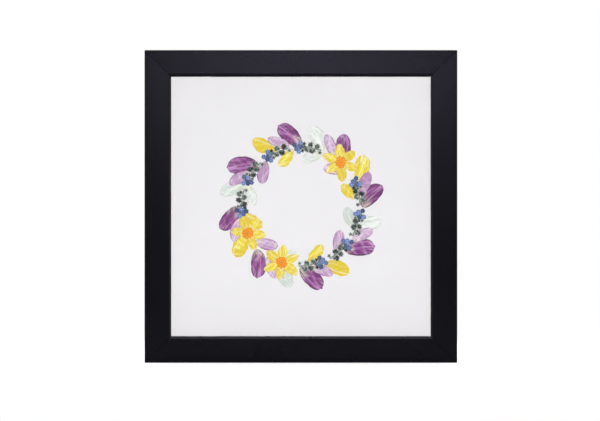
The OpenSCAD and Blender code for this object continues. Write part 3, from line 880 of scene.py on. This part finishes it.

# %% [markdown]
# ## Colour of petals
# Dried petals keep their colour in streaks: veins darker, the base pale or green, the rim darker.
# One node group works out where those marks are, and each petal colour uses it with its own
# colours. Values stored on the points tell the material where creases and rims are. The hollows of
# the creases are given painted shade and their crests a painted highlight.

# %% Find the markings of a petal
def petal_markings():
    """Veins fan out from a point below the base: the place across is divided by the place along
    plus a third. Clouds are broad patches of more or less colour."""
    group, given, out = new_group("petal_markings",
                                  {"Place": VECTOR, "Seed": NUMBER, "Veins per width": NUMBER},
                                  {"Veins": NUMBER, "Clouds": NUMBER})
    place = add(group, "ShaderNodeSeparateXYZ", {0: given.outputs["Place"]}).outputs
    seed = maths(group, "MULTIPLY", given.outputs["Seed"], 91.0)
    fan = maths(group, "DIVIDE", place["X"], maths(group, "ADD", place["Y"], 0.35))
    fan = maths(group, "MULTIPLY", fan, given.outputs["Veins per width"])
    slow = maths(group, "MULTIPLY", place["Y"], 2.2)
    streak = add(group, "ShaderNodeCombineXYZ", {0: fan, 1: slow, 2: seed}).outputs[0]
    veins = spread(group, noise(group, streak, 1.0, 4, 0.6), 0.42, 0.68)
    group.links.new(veins, out.inputs["Veins"])
    slow = maths(group, "MULTIPLY", place["Y"], 2.0)
    patch = add(group, "ShaderNodeCombineXYZ", {0: place["X"], 1: slow, 2: seed}).outputs[0]
    clouds = spread(group, noise(group, patch, 1.7, 4, 0.6, 0.4), 0.3, 0.7)
    group.links.new(clouds, out.inputs["Clouds"])
    return group


MARKINGS = petal_markings()
print(MARKINGS.name, len(MARKINGS.nodes), "nodes")

# %% [markdown]
# A petal's colours run from its base outwards, and its marks are laid over them one by one. Petals
# of one colour differ too: a random tone, stored on each, makes the whole petal darker or paler.

# %% Mix the petal colours
# Colours from the base outwards: heart, body and tip, which is also the painted highlight on
# crests.
# Then deep, for veins, for the painted shade in hollows and for petals of a dark tone, and the rim
# colour. Last the veins per width, how strongly the veins are marked, and how much painted shade
# the hollows get
PETAL_TINTS = {"purple": ("f0e2d4", "a65ea4", "d09cd0", "541650", "40123c", 9.0, 0.40, 0.70),
               "lilac": ("f6f0e8", "e4cae4", "f2e4f2", "ac7ab0", "925894", 9.0, 0.35, 0.60),
               "yellow": ("f7f2b4", "f9ed5c", "fdf7b8", "e2c228", "eacc48", 6.0, 0.35, 0.85),
               "white": ("eef0d4", "f6f9f6", "fdfefc", "c8d0cb", "ced1c2", 8.0, 0.35, 0.60),
               "tepal": ("f4f0aa", "f9ee60", "fdf7b8", "e2c228", "e8c63e", 7.0, 0.40, 0.80)}


def petal_material(kind):
    """Starts with the colours along the petal and lays the marks over them one by one."""
    material, tree, shader = new_material(f"petal_{kind}")
    heart, body, tip, deep, rim_colour = [srgb(digits) for digits in PETAL_TINTS[kind][:5]]
    veins_per_width, streaky, hollow_shade = PETAL_TINTS[kind][5:]
    uv = add(tree, "ShaderNodeUVMap", uv_map="UVMap").outputs[0]
    tone, relief = attribute(tree, "tone"), attribute(tree, "relief")
    marks = add(tree, "ShaderNodeGroup",
                {"Place": uv, "Seed": tone, "Veins per width": veins_per_width},
                node_tree=MARKINGS).outputs
    along = add(tree, "ShaderNodeSeparateXYZ", {0: uv}).outputs["Y"]
    along = maths(tree, "MULTIPLY_ADD", marks["Clouds"], 0.3, along)
    along = maths(tree, "MULTIPLY_ADD", tone, -0.25, along)
    colour = mix(tree, spread(tree, along, 0.05, 0.55), heart, body)
    colour = mix(tree, spread(tree, along, 0.5, 1.1, 0.0, 0.9), colour, tip)
    colour = mix(tree, spread(tree, tone, 0.35, 1.0, 0.0, 0.6), colour, deep)
    colour = mix(tree, maths(tree, "MULTIPLY", marks["Veins"], streaky), colour, deep)
    # Painted shade: the low places of the relief, the hollows of creases and folds, go towards deep
    colour = mix(tree, spread(tree, relief, 0.12, 0.40, hollow_shade, 0.0), colour, deep)
    # Painted highlight: the crests of the relief go towards the pale tip colour
    colour = mix(tree, spread(tree, relief, 0.35, 0.80, 0.0, 0.6), colour, tip)
    rim = maths(tree, "MULTIPLY_ADD", marks["Clouds"], 0.25, attribute(tree, "rim"))
    colour = mix(tree, spread(tree, rim, 0.88, 1.18, 0.0, 0.9), colour, rim_colour)
    rough = spread(tree, marks["Clouds"], 0.0, 1.0, 0.42, 0.62)
    tissue = noise(tree, object_place(tree), 3200, 2)
    tissue = maths(tree, "MULTIPLY_ADD", marks["Veins"], 0.8, tissue)
    dress(tree, shader, colour, rough, level=0.35, height=tissue, strength=0.35, depth=0.08)
    return material


PETAL_COLOURS = {kind: petal_material(kind) for kind in PETAL_TINTS}
print(len(PETAL_COLOURS), "petal colours")

# %% [markdown]
# Petals of one colour are one piece, as they are one node in the CAD model. They are laid in the
# order of the list, because each bends over those before it.

# %% Press the petals
def pressed_petals(name, kind, surfaces):
    """Joins a number of petal grids, whose fronts face the glass, and thickens them backwards."""
    points = np.stack([s[0] for s in surfaces])
    uv = np.stack([s[1] for s in surfaces])
    marks = {key: np.stack([s[2][key] for s in surfaces]) for key in surfaces[0][2]}
    copies, rows, cols, _ = points.shape
    made = new_piece(name, "frame", PETAL_COLOURS[kind], points.reshape(-1, 3),
                     [strip_faces(copies, rows, cols, False)], [strip_uv(uv)], marks, 80)
    skin = made.modifiers.new("skin", "SOLIDIFY")
    skin.thickness = SKIN
    skin.offset = -1
    return made


surfaces = [(kind, petal_surface(kind, place, heading, shape, seed))
            for seed, (kind, place, heading, shape) in enumerate(petals)]
for kind in ("purple", "lilac", "yellow", "white"):
    made = pressed_petals(f"pressed_{kind}_petals", kind,
                          [s for k, s in surfaces if k == kind])
    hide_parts(f"{kind}_petals")
print("heap", round(heap.max() / MM, 2), "mm high")

# %% [markdown]
# ## Trumpet flowers
# Three flowers lie on the ring: six pointed yellow tepals round a frilled orange cup that the
# press has flattened. The tepals are petals with a sharper outline, on a coarser grid.

# %% Press the tepals
# Angles on the ring, and how far from a flower's middle its tepals begin
TRUMPETS = np.array([207, 251, 48])
TEPALS, TEPAL_BASE = 6, 3.2 * MM
flower_at, flower_turn = at_wreath(TRUMPETS, WREATH_R, TRUMPETS)


def tepals():
    """Three flowers of six tepals, every second one first, so that the others overlap them."""
    made = []
    for flower, (place, turn) in enumerate(zip(flower_at, flower_turn)):
        for k in (0, 2, 4, 1, 3, 5):
            heading = turn + 2 * np.pi * k / TEPALS
            base = place + TEPAL_BASE * np.array([np.cos(heading), np.sin(heading)])
            shape = SHAPES["tepal"] * (1 + 0.09 * wobble([k, k + 3, 0, 0]))
            made.append(petal_surface("tepal", base, heading, shape, 100 + 10 * flower + k))
    return made


made = pressed_petals("pressed_tepals", "tepal", tepals())
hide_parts("trumpet_tepals")

# %% [markdown]
# ## Discs of loops
# Cups, buds and blossoms are all small closed discs. Loops run from the middle of the front out
# to the rim, and from the rim back to the middle of the rear.

# %% Shape discs with a wavy rim
def discs(places, turns, rim, front, thick, rows, cols):
    """rim(q) is the radius of the outline at angle q, and front(share, q) the height of the front
    at a share of that radius. The discs lie on the heap and raise it. Returns the shell of all of
    them, and the marks share, relief and tone of every point."""
    share = np.linspace(0.05, 1, rows)
    share = np.concatenate([share, share[::-1]])[:, None]
    q = np.linspace(0, 2 * np.pi, cols, endpoint=False)[None, :]
    rear = np.repeat([0.0, 1.0], rows)[:, None]
    radius = share * rim(q)
    lift = front(share, q)
    turn = np.asarray(turns)[:, None, None]
    x = places[:, 0, None, None] + radius * np.cos(q + turn)
    z = places[:, 1, None, None] + radius * np.sin(q + turn)
    height = height_under(x, z) + lift + thick * (1 - rear)
    raise_heap(x, z, height)
    points, faces, _ = stack_of_loops(on_paper(x, z, height))
    tone = 0.5 + 0.5 * wobble(np.arange(len(places)))
    marks = {"share": share, "relief": lift / max(lift.max(), 1e-9), "tone": tone[:, None, None]}
    marks = {mark: np.broadcast_to(values, x.shape) for mark, values in marks.items()}
    return (points, faces, None), marks


def layered_discs(places, turns, layers, *form):
    """Discs dealt out in turn to a number of layers. Returns all shells and all marks."""
    made = [discs(places[k::layers], turns[k::layers], *form) for k in range(layers)]
    marks = {key: np.concatenate([m[key].ravel() for _, m in made]) for key in made[0][1]}
    return [shell for shell, _ in made], marks


print("a disc bends over the", round(heap.max() / MM, 2), "mm that lie there already")

# %% [markdown]
# A flattened flower shows rings of colour: an eye, a body and a rim. They follow the share of the
# radius that is stored on the points, and a fine noise frays them, as pollen and down do.

# %% Mix the colours of the discs
def disc_material(name, bands, dark, rough, hollows, varied, grain):
    """bands are (share of the radius, colour) from the middle to the rim. The low places go towards
    the dark colour as painted shade, and whole discs do too, each by its own tone."""
    material, tree, shader = new_material(name)
    dark = srgb(dark)
    fine = noise(tree, object_place(tree), grain, 3)
    share = maths(tree, "SUBTRACT", attribute(tree, "share"), 0.06)
    share = maths(tree, "MULTIPLY_ADD", fine, 0.12, share)
    colour = srgb(bands[0][1])
    for (inner, _), (outer, next_colour) in zip(bands, bands[1:]):
        colour = mix(tree, spread(tree, share, inner, outer), colour, srgb(next_colour))
    # Painted shade: the low places of the front go towards the dark colour
    hollow_shade = spread(tree, attribute(tree, "relief"), 0.0, 0.8, hollows, 0.0)
    colour = mix(tree, hollow_shade, colour, dark)
    colour = mix(tree, maths(tree, "MULTIPLY", attribute(tree, "tone"), varied), colour, dark)
    colour = mix(tree, spread(tree, fine, 0.5, 0.75, 0.0, 0.35), colour, dark)
    rough = spread(tree, fine, 0.3, 0.7, rough - 0.08, rough + 0.08)
    dress(tree, shader, colour, rough, level=0.25, height=fine, strength=0.4, depth=0.08)
    return material


# The number after the roughness is how much painted shade the low places get
CUP_ORANGE = disc_material(
    "trumpet_orange", [(0.05, "fabe28"), (0.24, "fee074"), (0.42, "fed054"), (0.75, "fdb834"),
                       (1.0, "f48612")], "e8700a", 0.55, 0.9, 0.2, 3000)
BUD_GREEN = disc_material(
    "bud_green", [(0.0, "828d86"), (0.3, "4e5b56"), (0.6, "7a8780"), (0.85, "cad2ca")],
    "141919", 0.8, 0.15, 0.85, 2000)
BLOSSOM_BLUE = disc_material(
    "blossom_blue", [(0.06, "f0d66e"), (0.14, "e2e6f0"), (0.24, "82a0dc"), (0.75, "7a9ad8"),
                     (1.0, "ccdcf2")], "242e56", 0.6, 0.5, 0.8, 2000)
print("colours:", CUP_ORANGE.name, BUD_GREEN.name, BLOSSOM_BLUE.name)

# %% [markdown]
# The press flattens a cup from the front, so its frilled rim spreads into pleats round a pale,
# powdery middle. One disc whose rim waves in and out gives all of that as a single surface.

# %% Press the cups
def cup_rim(q):
    """A circle of 5.2 mm that waves 0.5 mm in and out nine times, and is squeezed a little."""
    return (5.2 + 0.5 * np.cos(9 * q) + 0.25 * np.sin(4 * q + 1) + 0.3 * np.sin(2 * q + 2)) * MM


def cup_front(share, q):
    """A low bowl: it rises towards the rim, with a pleat for each wave, and the pollen-heavy
    middle stands up as six small knobs."""
    bowl = 0.4 * share ** 1.6 + 0.9 * share * np.abs(np.cos(4.5 * q + 0.6 * share))
    knobs = 0.6 * np.exp(-((share - 0.22) / 0.09) ** 2) * np.cos(3 * q) ** 2
    return (bowl + knobs) * MM


shell, marks = discs(flower_at, flower_turn, cup_rim, cup_front, 0.15 * MM, 20, 108)
made = closed_piece("pressed_cups", "frame", CUP_ORANGE, [shell], marks, 80)
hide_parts("trumpet_cups")

# %% [markdown]
# ## Sprigs
# Eight sprigs follow the ring. Each has a downy stem, buds on short twigs to either side, and a
# head of more buds and six small blue flowers at its end. Stems and twigs are tubes: a circle,
# flattened by the press, carried along a path and made thinner towards the tip.

# %% Shape tubes that lie on the heap
# The angles on the ring at which the sprigs start, and the degrees that each takes up
SPRIGS = np.array([70, 101, 132, 163, 268, 299, 330, 361])
SWEEP = 23
SIDES, TWIG_ROWS = 10, 9
SQUASH = 0.6


def flat_tube(x, z, radius):
    """x, z and radius are copies x rows. The circle is squashed to a share of its height, and
    turned into the path by the direction between each point's neighbours."""
    along = np.stack([np.gradient(x, axis=1), np.gradient(z, axis=1)], -1)
    along /= np.linalg.norm(along, axis=-1)[..., None]
    q = np.linspace(0, 2 * np.pi, SIDES, endpoint=False)
    wide = radius[..., None] * np.cos(q)
    high = SQUASH * radius[..., None] * np.sin(q)
    middle = height_under(x, z) + SQUASH * radius + 0.05 * MM
    raise_heap(x, z, middle + SQUASH * radius)
    points = on_paper(x[..., None] - wide * along[..., 1:], z[..., None] + wide * along[..., :1],
                      middle[..., None] + high)
    return stack_of_loops(points)


def twig_path(place, heading, length):
    """A straight twig with a slight bow: sideways by a tenth of its length at the middle."""
    t = np.linspace(0, 1, TWIG_ROWS)
    run, bow = length[:, None] * t, 0.1 * length[:, None] * np.sin(np.pi * t)
    cos, sin = np.cos(heading)[:, None], np.sin(heading)[:, None]
    return place[:, :1] + run * cos - bow * sin, place[:, 1:] + run * sin + bow * cos


def tips(place, heading, length):
    """Where each twig ends."""
    return place + length[:, None] * np.stack([np.cos(heading), np.sin(heading)], -1)


def on_each_sprig(count):
    """The start of every sprig, count times over, and beside it the numbers below count."""
    return np.repeat(SPRIGS, count), np.tile(np.arange(count), len(SPRIGS))


print(len(SPRIGS), "sprigs of", SWEEP, "degrees")

# %% [markdown]
# Each sprig is a stem along the ring, four twigs that carry buds and five short ones that carry
# blossoms. Every set of tubes is worked out at once, and all of them are one piece.

# %% Grow the stems
BUDS, BLOSSOMS = 4, 6
# Radii in mm, at the base and at the tip
STEM_R, TWIG_R = (0.72, 0.45), (0.42, 0.30)
STEM_ROWS = 40

start, bud = on_each_sprig(BUDS)
bud_base, bud_heading = at_wreath(start + SWEEP * (0.1 + 0.13 * bud), WREATH_R,
                                  np.where(bud % 2 == 0, 50, 130))
bud_length = 5.4 * MM * (0.9 + 0.15 * wobble(start + bud))
start, blossom = on_each_sprig(BLOSSOMS)
blossom_base, blossom_heading = at_wreath(start + SWEEP, WREATH_R, 137.5 * blossom)
blossom_length = 2.2 * MM * np.sqrt(blossom)

turn = np.radians(SPRIGS[:, None] + SWEEP * np.linspace(0, 1, STEM_ROWS))
sway = WREATH_R * MM + 0.3 * MM * np.sin(5 * turn * 180 / np.pi / SWEEP)
radius = np.linspace(*STEM_R, STEM_ROWS) * MM * np.ones((len(SPRIGS), 1))
shells = [flat_tube(sway * np.cos(turn), sway * np.sin(turn), radius)]
outer = blossom > 0
for base, heading, length in ((bud_base, bud_heading, bud_length),
                              (blossom_base[outer], blossom_heading[outer], blossom_length[outer])):
    x, z = twig_path(base, heading, length)
    radius = np.linspace(*TWIG_R, TWIG_ROWS) * MM * np.ones((len(x), 1))
    shells.append(flat_tube(x, z, radius))
stem_green = speckled("sprig_green", "68786e", "b2beb0", 1300, 0.75, strength=0.5, depth=0.15,
                      level=0.2)
made = closed_piece("pressed_stems", "frame", stem_green, shells, crease=80)
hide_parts("sprig_stems")

# %% [markdown]
# The buds are what makes a sprig look dense: small downy stars of five sepals, dark in the middle
# and pale at their hairy edges. Three share the end of each twig, some sit on the stem, and a
# spiral of them fills the head. They are laid in layers, so that each bends over those before it.

# %% Press the buds
CALYX_R = 2.2 * MM
HEAD_CALYXES, STEM_CALYXES = 9, 5


def calyx_rim(q):
    """Five sepals: the radius falls steeply to either side of each point."""
    return CALYX_R * (0.45 + 0.55 * np.abs(np.cos(2.5 * q)) ** 1.5)


def calyx_front(share, q):
    """A dome with a furrow between the sepals."""
    dome = np.sqrt(np.clip(1 - share ** 2, 0, 1))
    return 0.5 * MM * dome * (0.5 + 0.5 * np.abs(np.cos(2.5 * q)))


def calyx_places():
    """In the head, number k lies 1.6 mm * sqrt(k + 0.5) from the middle, 137.5 degrees further
    round than the one before. On the stem they alternate, 2.3 mm to either side."""
    tip = tips(bud_base, bud_heading, bud_length)
    twigs = [tips(tip, bud_heading + 2.2 * k, 1.4 * MM * np.full(len(tip), min(k, 1)))
             for k in range(3)]
    start, k = on_each_sprig(HEAD_CALYXES)
    middle, along = at_wreath(start + SWEEP - 4.0, WREATH_R, 137.5 * k)
    head = tips(middle, along, 1.6 * MM * np.sqrt(k + 0.5))
    start, k = on_each_sprig(STEM_CALYXES)
    stem, _ = at_wreath(start + SWEEP * (0.03 + 0.14 * k), WREATH_R + np.where(k % 2, 2.3, -2.3), 0)
    return np.concatenate([stem, head] + twigs)


places = calyx_places()
shells, marks = layered_discs(places, 2.4 * np.arange(len(places)), 2, calyx_rim, calyx_front,
                              0.1 * MM, 5, 25)
made = closed_piece("pressed_buds", "frame", BUD_GREEN, shells, marks, 60)
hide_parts("sprig_buds")

# %% [markdown]
# A blossom has five round lobes, and a yellow eye in a pale ring. It is a disc like the bud, with
# more loops, because its lobes are broader and smoother.

# %% Press the blossoms
BLOSSOM_R = 2.4 * MM


def blossom_rim(q):
    """Five round lobes with a notch between them."""
    return BLOSSOM_R * (0.70 + 0.30 * np.abs(np.cos(2.5 * q)) ** 0.7)


def blossom_front(share, q):
    """Each lobe is a low dome; the eye in the middle is a raised ring."""
    lobes = 0.36 * np.sin(np.pi * np.clip(share, 0, 1)) * np.abs(np.cos(2.5 * q))
    eye = 0.25 * np.exp(-((share - 0.16) / 0.08) ** 2)
    return MM * (0.08 + lobes + eye)


shells, marks = layered_discs(tips(blossom_base, blossom_heading, blossom_length),
                              blossom_heading + blossom, 2, blossom_rim, blossom_front,
                              0.1 * MM, 8, 45)
made = closed_piece("pressed_blossoms", "frame", BLOSSOM_BLUE, shells, marks, 60)
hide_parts("blue_blossoms")

# %% [markdown]
# ## Fittings on the back
# The fittings are stamped from thin steel and zinc plated. Zinc is cloudy, with fine rolling
# lines and duller handling marks. One group makes the clouds and the scratches, and each fitting
# takes its own two tones.

# %% Mix the plated metals
def wear_group():
    """Clouds of a few millimetres, and scratches: a noise that is stretched along X."""
    group, given, out = new_group("metal_wear", {"Place": VECTOR, "Fine": NUMBER},
                                  {"Clouds": NUMBER, "Scratches": NUMBER})
    place, fine = given.outputs["Place"], given.outputs["Fine"]
    clouds = noise(group, place, maths(group, "MULTIPLY", fine, 0.15), 4, 0.5)
    lines = noise(group, stretched(group, place, (0.08, 1.0, 1.0)), fine, 3, 0.5)
    group.links.new(spread(group, clouds, 0.3, 0.7), out.inputs["Clouds"])
    group.links.new(lines, out.inputs["Scratches"])
    return group


WEAR = wear_group()
FINE_WEAR = 2400


def plated(name, bright, dull, smooth=0.25, rough=0.45):
    """Metal between two grey levels or tints: bright where it is smooth, dull where clouds
    roughen it."""
    material, tree, shader = new_material(name)
    wear = add(tree, "ShaderNodeGroup", {"Place": object_place(tree), "Fine": FINE_WEAR},
               node_tree=WEAR).outputs
    colour = mix(tree, wear["Clouds"], (*bright, 1), (*dull, 1))
    rough = spread(tree, wear["Clouds"], 0.0, 1.0, smooth, rough)
    dress(tree, shader, colour, rough, level=0.5, height=wear["Scratches"], strength=0.2,
          depth=0.04)
    shader.inputs["Metallic"].default_value = 1.0
    return material


ZINC = plated("button_zinc", (0.52, 0.52, 0.51), (0.33, 0.33, 0.33), 0.28, 0.48)
SCREW_ZINC = plated("screw_zinc", (0.48, 0.47, 0.45), (0.28, 0.28, 0.28), 0.22, 0.42)
HINGE_STEEL = plated("hinge_nickel", (0.52, 0.52, 0.51), (0.34, 0.34, 0.34))
BRASSED = plated("hanger_brassed", (0.66, 0.56, 0.34), (0.46, 0.38, 0.22), 0.25, 0.5)
WEDGE_STEEL = plated("wedge_steel", (0.40, 0.40, 0.41), (0.22, 0.21, 0.21), 0.35, 0.6)
RUBBER = speckled("bumper_rubber", "181819", "2c2c2e", 1400, 0.7, strength=0.4, depth=0.1)

FINISHES = {"mitre_wedges": WEDGE_STEEL, "sawtooth_hanger": BRASSED, "hinge_pin": SCREW_ZINC,
            "hinge_fixed_leaf": HINGE_STEEL, "hinge_moving_leaf": HINGE_STEEL,
            "bumper_left": RUBBER, "bumper_right": RUBBER}
for node, material in FINISHES.items():
    finish(node, material)
print("fittings finished")

# %% [markdown]
# ## Turned heads
# Rivets and nails have low domed heads on plain shanks. Each is a profile turned about Y: loops
# from the end of the shank up to the crown of the head.

# %% Turn the rivets and the hanger nails
def turned_pins(places, tail, seat, shank, head, height):
    """A shank from the tail plane to the seat plane, and a head whose section is a quarter of an
    ellipse. Places are x, z; the rest are lengths or Y planes in metres."""
    a = np.linspace(0.08, 1, 7) * np.pi / 2
    radius = np.concatenate([[0.7 * shank, shank, shank, 0.92 * head], head * np.sin(a)[::-1]])
    y = np.concatenate([[tail, tail + 0.2 * shank, seat, seat],
                        seat + height * (0.15 + 0.85 * np.cos(a))[::-1]])
    q = np.linspace(0, 2 * np.pi, 28, endpoint=False)
    ring = np.stack([radius[:, None] * np.cos(q), y[:, None] * np.ones_like(q),
                     radius[:, None] * np.sin(q)], -1)
    places = np.stack([places[:, 0], np.zeros(len(places)), places[:, 1]], -1)
    return stack_of_loops(ring[None] + places[:, None, None])


# The thickness of the leaves and the hanger, and where the pins stand
LEAF_T = 0.8 * MM
RIVET_X, HINGE_Z, NAIL_X = 13 * MM, 200 * MM, 18 * MM
# Radius of the shank, radius of the head and height of the head
RIVET = (1.2 * MM, 2.4 * MM, 0.9 * MM)
NAIL = (0.8 * MM, 1.8 * MM, 0.7 * MM)

backing_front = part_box("backing_board")[0].y
leg_front, leg_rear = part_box("strut_leg")[0].y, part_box("strut_leg")[1].y
nail_tail, nail_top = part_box("hanger_nails")[0].y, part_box("hanger_nails")[1].z
at_backing = np.array([(x, HINGE_Z + z * MM) for x in (-RIVET_X, RIVET_X) for z in (8, 15)])
at_leg = np.array([(x, HINGE_Z - z * MM) for x in (-RIVET_X, RIVET_X) for z in (9, 17)])
at_hanger = np.array([(x, nail_top - NAIL[1]) for x in (-NAIL_X, NAIL_X)])
backing_pins = turned_pins(at_backing, backing_front, BACK_Y + LEAF_T, *RIVET)
strut_pins = turned_pins(at_leg, leg_front, leg_rear + LEAF_T, *RIVET)
hanger_pins = turned_pins(at_hanger, nail_tail, BACK_Y + LEAF_T, *NAIL)
for node, body, slot, metal, pins in (
        ("backing_rivets", "frame", "hinge_steel", SCREW_ZINC, backing_pins),
        ("strut_rivets", "strut", "hinge_steel", SCREW_ZINC, strut_pins),
        ("hanger_nails", "frame", "hanger_steel", BRASSED, hanger_pins)):
    made = closed_piece(f"domed_{node}", body, metal, [pins])
    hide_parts(node)

# %% [markdown]
# ## Pan-head screws
# The cross recess needs straight sharp edges on a round head. A square grid has the straight
# lines, so it is drawn out to a circle: near the middle the grid stays square, and towards the
# rim each square ring becomes round. Grid lines lie close together along the recess's walls.

# %% Cut the screw heads
HEAD_R, HEAD_H = 3.1 * MM, 1.9 * MM
RECESS = 1.0 * MM
# Half the width and half the length of the recess's arms, as shares of the head's radius
ARM_HALF_WIDTH, ARM_REACH = 0.115, 0.57
# Grid lines from the middle to the rim, doubled at the walls and the ends of the arms
HALF_LINES = np.array([0, 0.06, 0.105, 0.12, 0.2, 0.32, 0.44, 0.555, 0.585, 0.68, 0.78, 0.86, 0.92,
                       0.965, 1.0])
LINES = np.concatenate([-HALF_LINES[:0:-1], HALF_LINES])


def screw_head():
    """The head's face: a dome that falls steeply at its rim, less the recess where a point lies in
    one of the two arms. Returns x, height over the seat and z."""
    u, v = np.meshgrid(LINES, LINES, indexing="ij")
    near, far = np.minimum(np.abs(u), np.abs(v)), np.maximum(np.abs(u), np.abs(v))
    length = np.maximum(np.hypot(u, v), 1e-9)
    scale = 1 - far ** 2 + far ** 2 * far / length
    x, z = u * scale, v * scale
    dome = (1 - 0.5 * np.clip(np.hypot(x, z), 0, 1) ** 4) ** 1.6
    recess = (near < ARM_HALF_WIDTH) & (far < ARM_REACH)
    return x * HEAD_R, dome * HEAD_H - recess * RECESS, z * HEAD_R


print("a head has", len(LINES) ** 2, "points")

# %% [markdown]
# Below the head come its flat underside, the shank and the blunt point. One screw is built on the
# bottom rail and turned to the other sides. All eight are one piece, as in the CAD model.

# %% Drive the screws
# Where each button pivots: mm along the rail, and the side as turned() numbers it
PIVOTS = {"bottom_left": (-65, 0), "bottom_right": (65, 0), "left_upper": (-65, 1),
          "left_lower": (65, 1), "top_right": (-65, 2), "top_left": (65, 2),
          "right_lower": (-65, 3), "right_upper": (65, 3)}
PIVOT_IN = 11.5 * MM
SEAT_Y = BACK_Y + 1.2 * MM
# The rings below the head as (share of the head's radius, plane): seat, shank and blunt point
RINGS = [(1.0, SEAT_Y), (1.4 / 3.1, SEAT_Y), (1.4 / 3.1, BACK_Y - 11.5 * MM),
         (0.7 / 3.1, BACK_Y - 12 * MM)]


def screws():
    """Heads on their seats with a short shank below, turned so that the arms stand at 45
    degrees to the rail."""
    x, h, z = screw_head()
    turn = np.radians(45)
    x, z = x * np.cos(turn) - z * np.sin(turn), x * np.sin(turn) + z * np.cos(turn)
    n = len(LINES)
    top = np.stack([x, SEAT_Y + h, z + PIVOT_IN], -1).reshape(-1, 3)
    i = np.arange(n)
    rim = np.concatenate([i * n, (n - 1) * n + i[1:], (i[:-1] * n + n - 1)[::-1], i[1:-1][::-1]])
    edge_x, edge_z = top[rim, 0], top[rim, 2] - PIVOT_IN
    rings = [np.stack([edge_x * k, np.full(len(rim), y), PIVOT_IN + edge_z * k], -1)
             for k, y in RINGS]
    points = np.concatenate([top] + rings)
    below = n * n + np.arange(len(RINGS) * len(rim)).reshape(len(RINGS), -1)
    loops = np.concatenate([rim[None], below])
    around = np.roll(loops, -1, 1)
    sides = np.stack([loops[:-1], around[:-1], around[1:], loops[1:]], -1).reshape(-1, 4)
    faces = [strip_faces(1, n, n, False), sides, loops[-1:]]
    return [(turned(points + [along * MM, 0, 0], side), faces, None)
            for along, side in PIVOTS.values()]


made = closed_piece("pan_head_screws", "frame", SCREW_ZINC, screws(), crease=35)
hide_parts("button_screws")

# %% [markdown]
# ## Turn buttons
# A turn button is a tear-shaped plate with a hole for its screw, its edges rolled by the stamping
# tool, and a dimple at the tip that presses on the back. The outline is two circles and their
# shared tangents, like a belt round two pulleys.

# %% Draw the outline of a turn button
BUTTON_R, TIP_R, REACH, HOLE_R = 5 * MM, 3.2 * MM, 12 * MM, 1.5 * MM


def tear_outline(samples=120):
    """Two circles a reach apart and their shared tangents, sampled at even steps. The tangents
    touch both circles where the radius leans by asin((large - small) / reach)."""
    lean = np.arcsin((BUTTON_R - TIP_R) / REACH)
    big = np.linspace(np.pi - lean, 2 * np.pi + lean, 200)
    small = np.linspace(lean, np.pi - lean, 200)
    line = np.concatenate([BUTTON_R * np.stack([np.cos(big), np.sin(big)], 1),
                           TIP_R * np.stack([np.cos(small), np.sin(small)], 1) + [0, REACH]])
    line = np.concatenate([line, line[:1]])
    run = np.concatenate([[0], np.cumsum(np.linalg.norm(np.diff(line, axis=0), axis=1))])
    even = np.linspace(0, run[-1], samples, endpoint=False)
    return np.stack([np.interp(even, run, line[:, 0]), np.interp(even, run, line[:, 1])], 1)


outline = tear_outline()
print("outline of", len(outline), "points,", round(np.ptp(outline[:, 1]) / MM, 2), "mm long")

# %% [markdown]
# Rings run from the hole over the top to the outline and back underneath, so the plate is one
# closed surface. The same plate is turned to all eight pivots, each on its own body.

# %% Stamp the turn buttons
PLATE_T, PLATE_LIFT = 1.0 * MM, 0.1 * MM
DIMPLE_R, DIMPLE_SLOPE, DIMPLE_H = 1.8 * MM, 0.9 * MM, 0.5 * MM
# The rings, as shares of the way from the hole to the outline, and how high in the plate each is
RING_SHARES = np.concatenate([np.linspace(0, 0.93, 26), [0.965, 0.99, 1.0, 1.0, 0.985, 0.0]])
RING_LEVELS = np.concatenate([np.full(26, 1.0), [0.97, 0.85, 0.65, 0.2, 0.0, 0.0]])


def turn_button():
    """Rings from the hole over the top, down the rolled edge and back underneath. The dimple rises
    by its height times 3 d^2 - 2 d^3, where d goes from 0 to 1 over its slope."""
    hole = HOLE_R * outline / np.linalg.norm(outline, axis=1)[:, None]
    ring = hole + RING_SHARES[:, None, None] * (outline - hole)
    away = np.linalg.norm(ring - [0, REACH], axis=-1)
    dimple = np.clip((DIMPLE_R - away) / DIMPLE_SLOPE, 0, 1)
    dimple = DIMPLE_H * dimple ** 2 * (3 - 2 * dimple) * (RING_LEVELS == 1)[:, None]
    y = BACK_Y + PLATE_LIFT + RING_LEVELS[:, None] * PLATE_T + dimple
    points = np.stack([ring[..., 0], y, PIVOT_IN + ring[..., 1]], -1)
    rows, cols, _ = points.shape
    row, col = np.arange(rows)[:, None], np.arange(cols)[None, :]
    up, side = (row + 1) % rows * cols, (col + 1) % cols
    faces = np.stack(np.broadcast_arrays(row * cols + col, row * cols + side, up + side,
                                         up + col), -1).reshape(-1, 4)
    return points.reshape(-1, 3), [faces]


plate, plate_faces = turn_button()
for where, (along, side) in PIVOTS.items():
    placed = turned(plate + [along * MM, 0, 0], side)
    body = f"turn_button_{where}"
    made = closed_piece(f"stamped_{where}", body, ZINC,
                        [(placed, plate_faces, None)], crease=45)
    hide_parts(body)
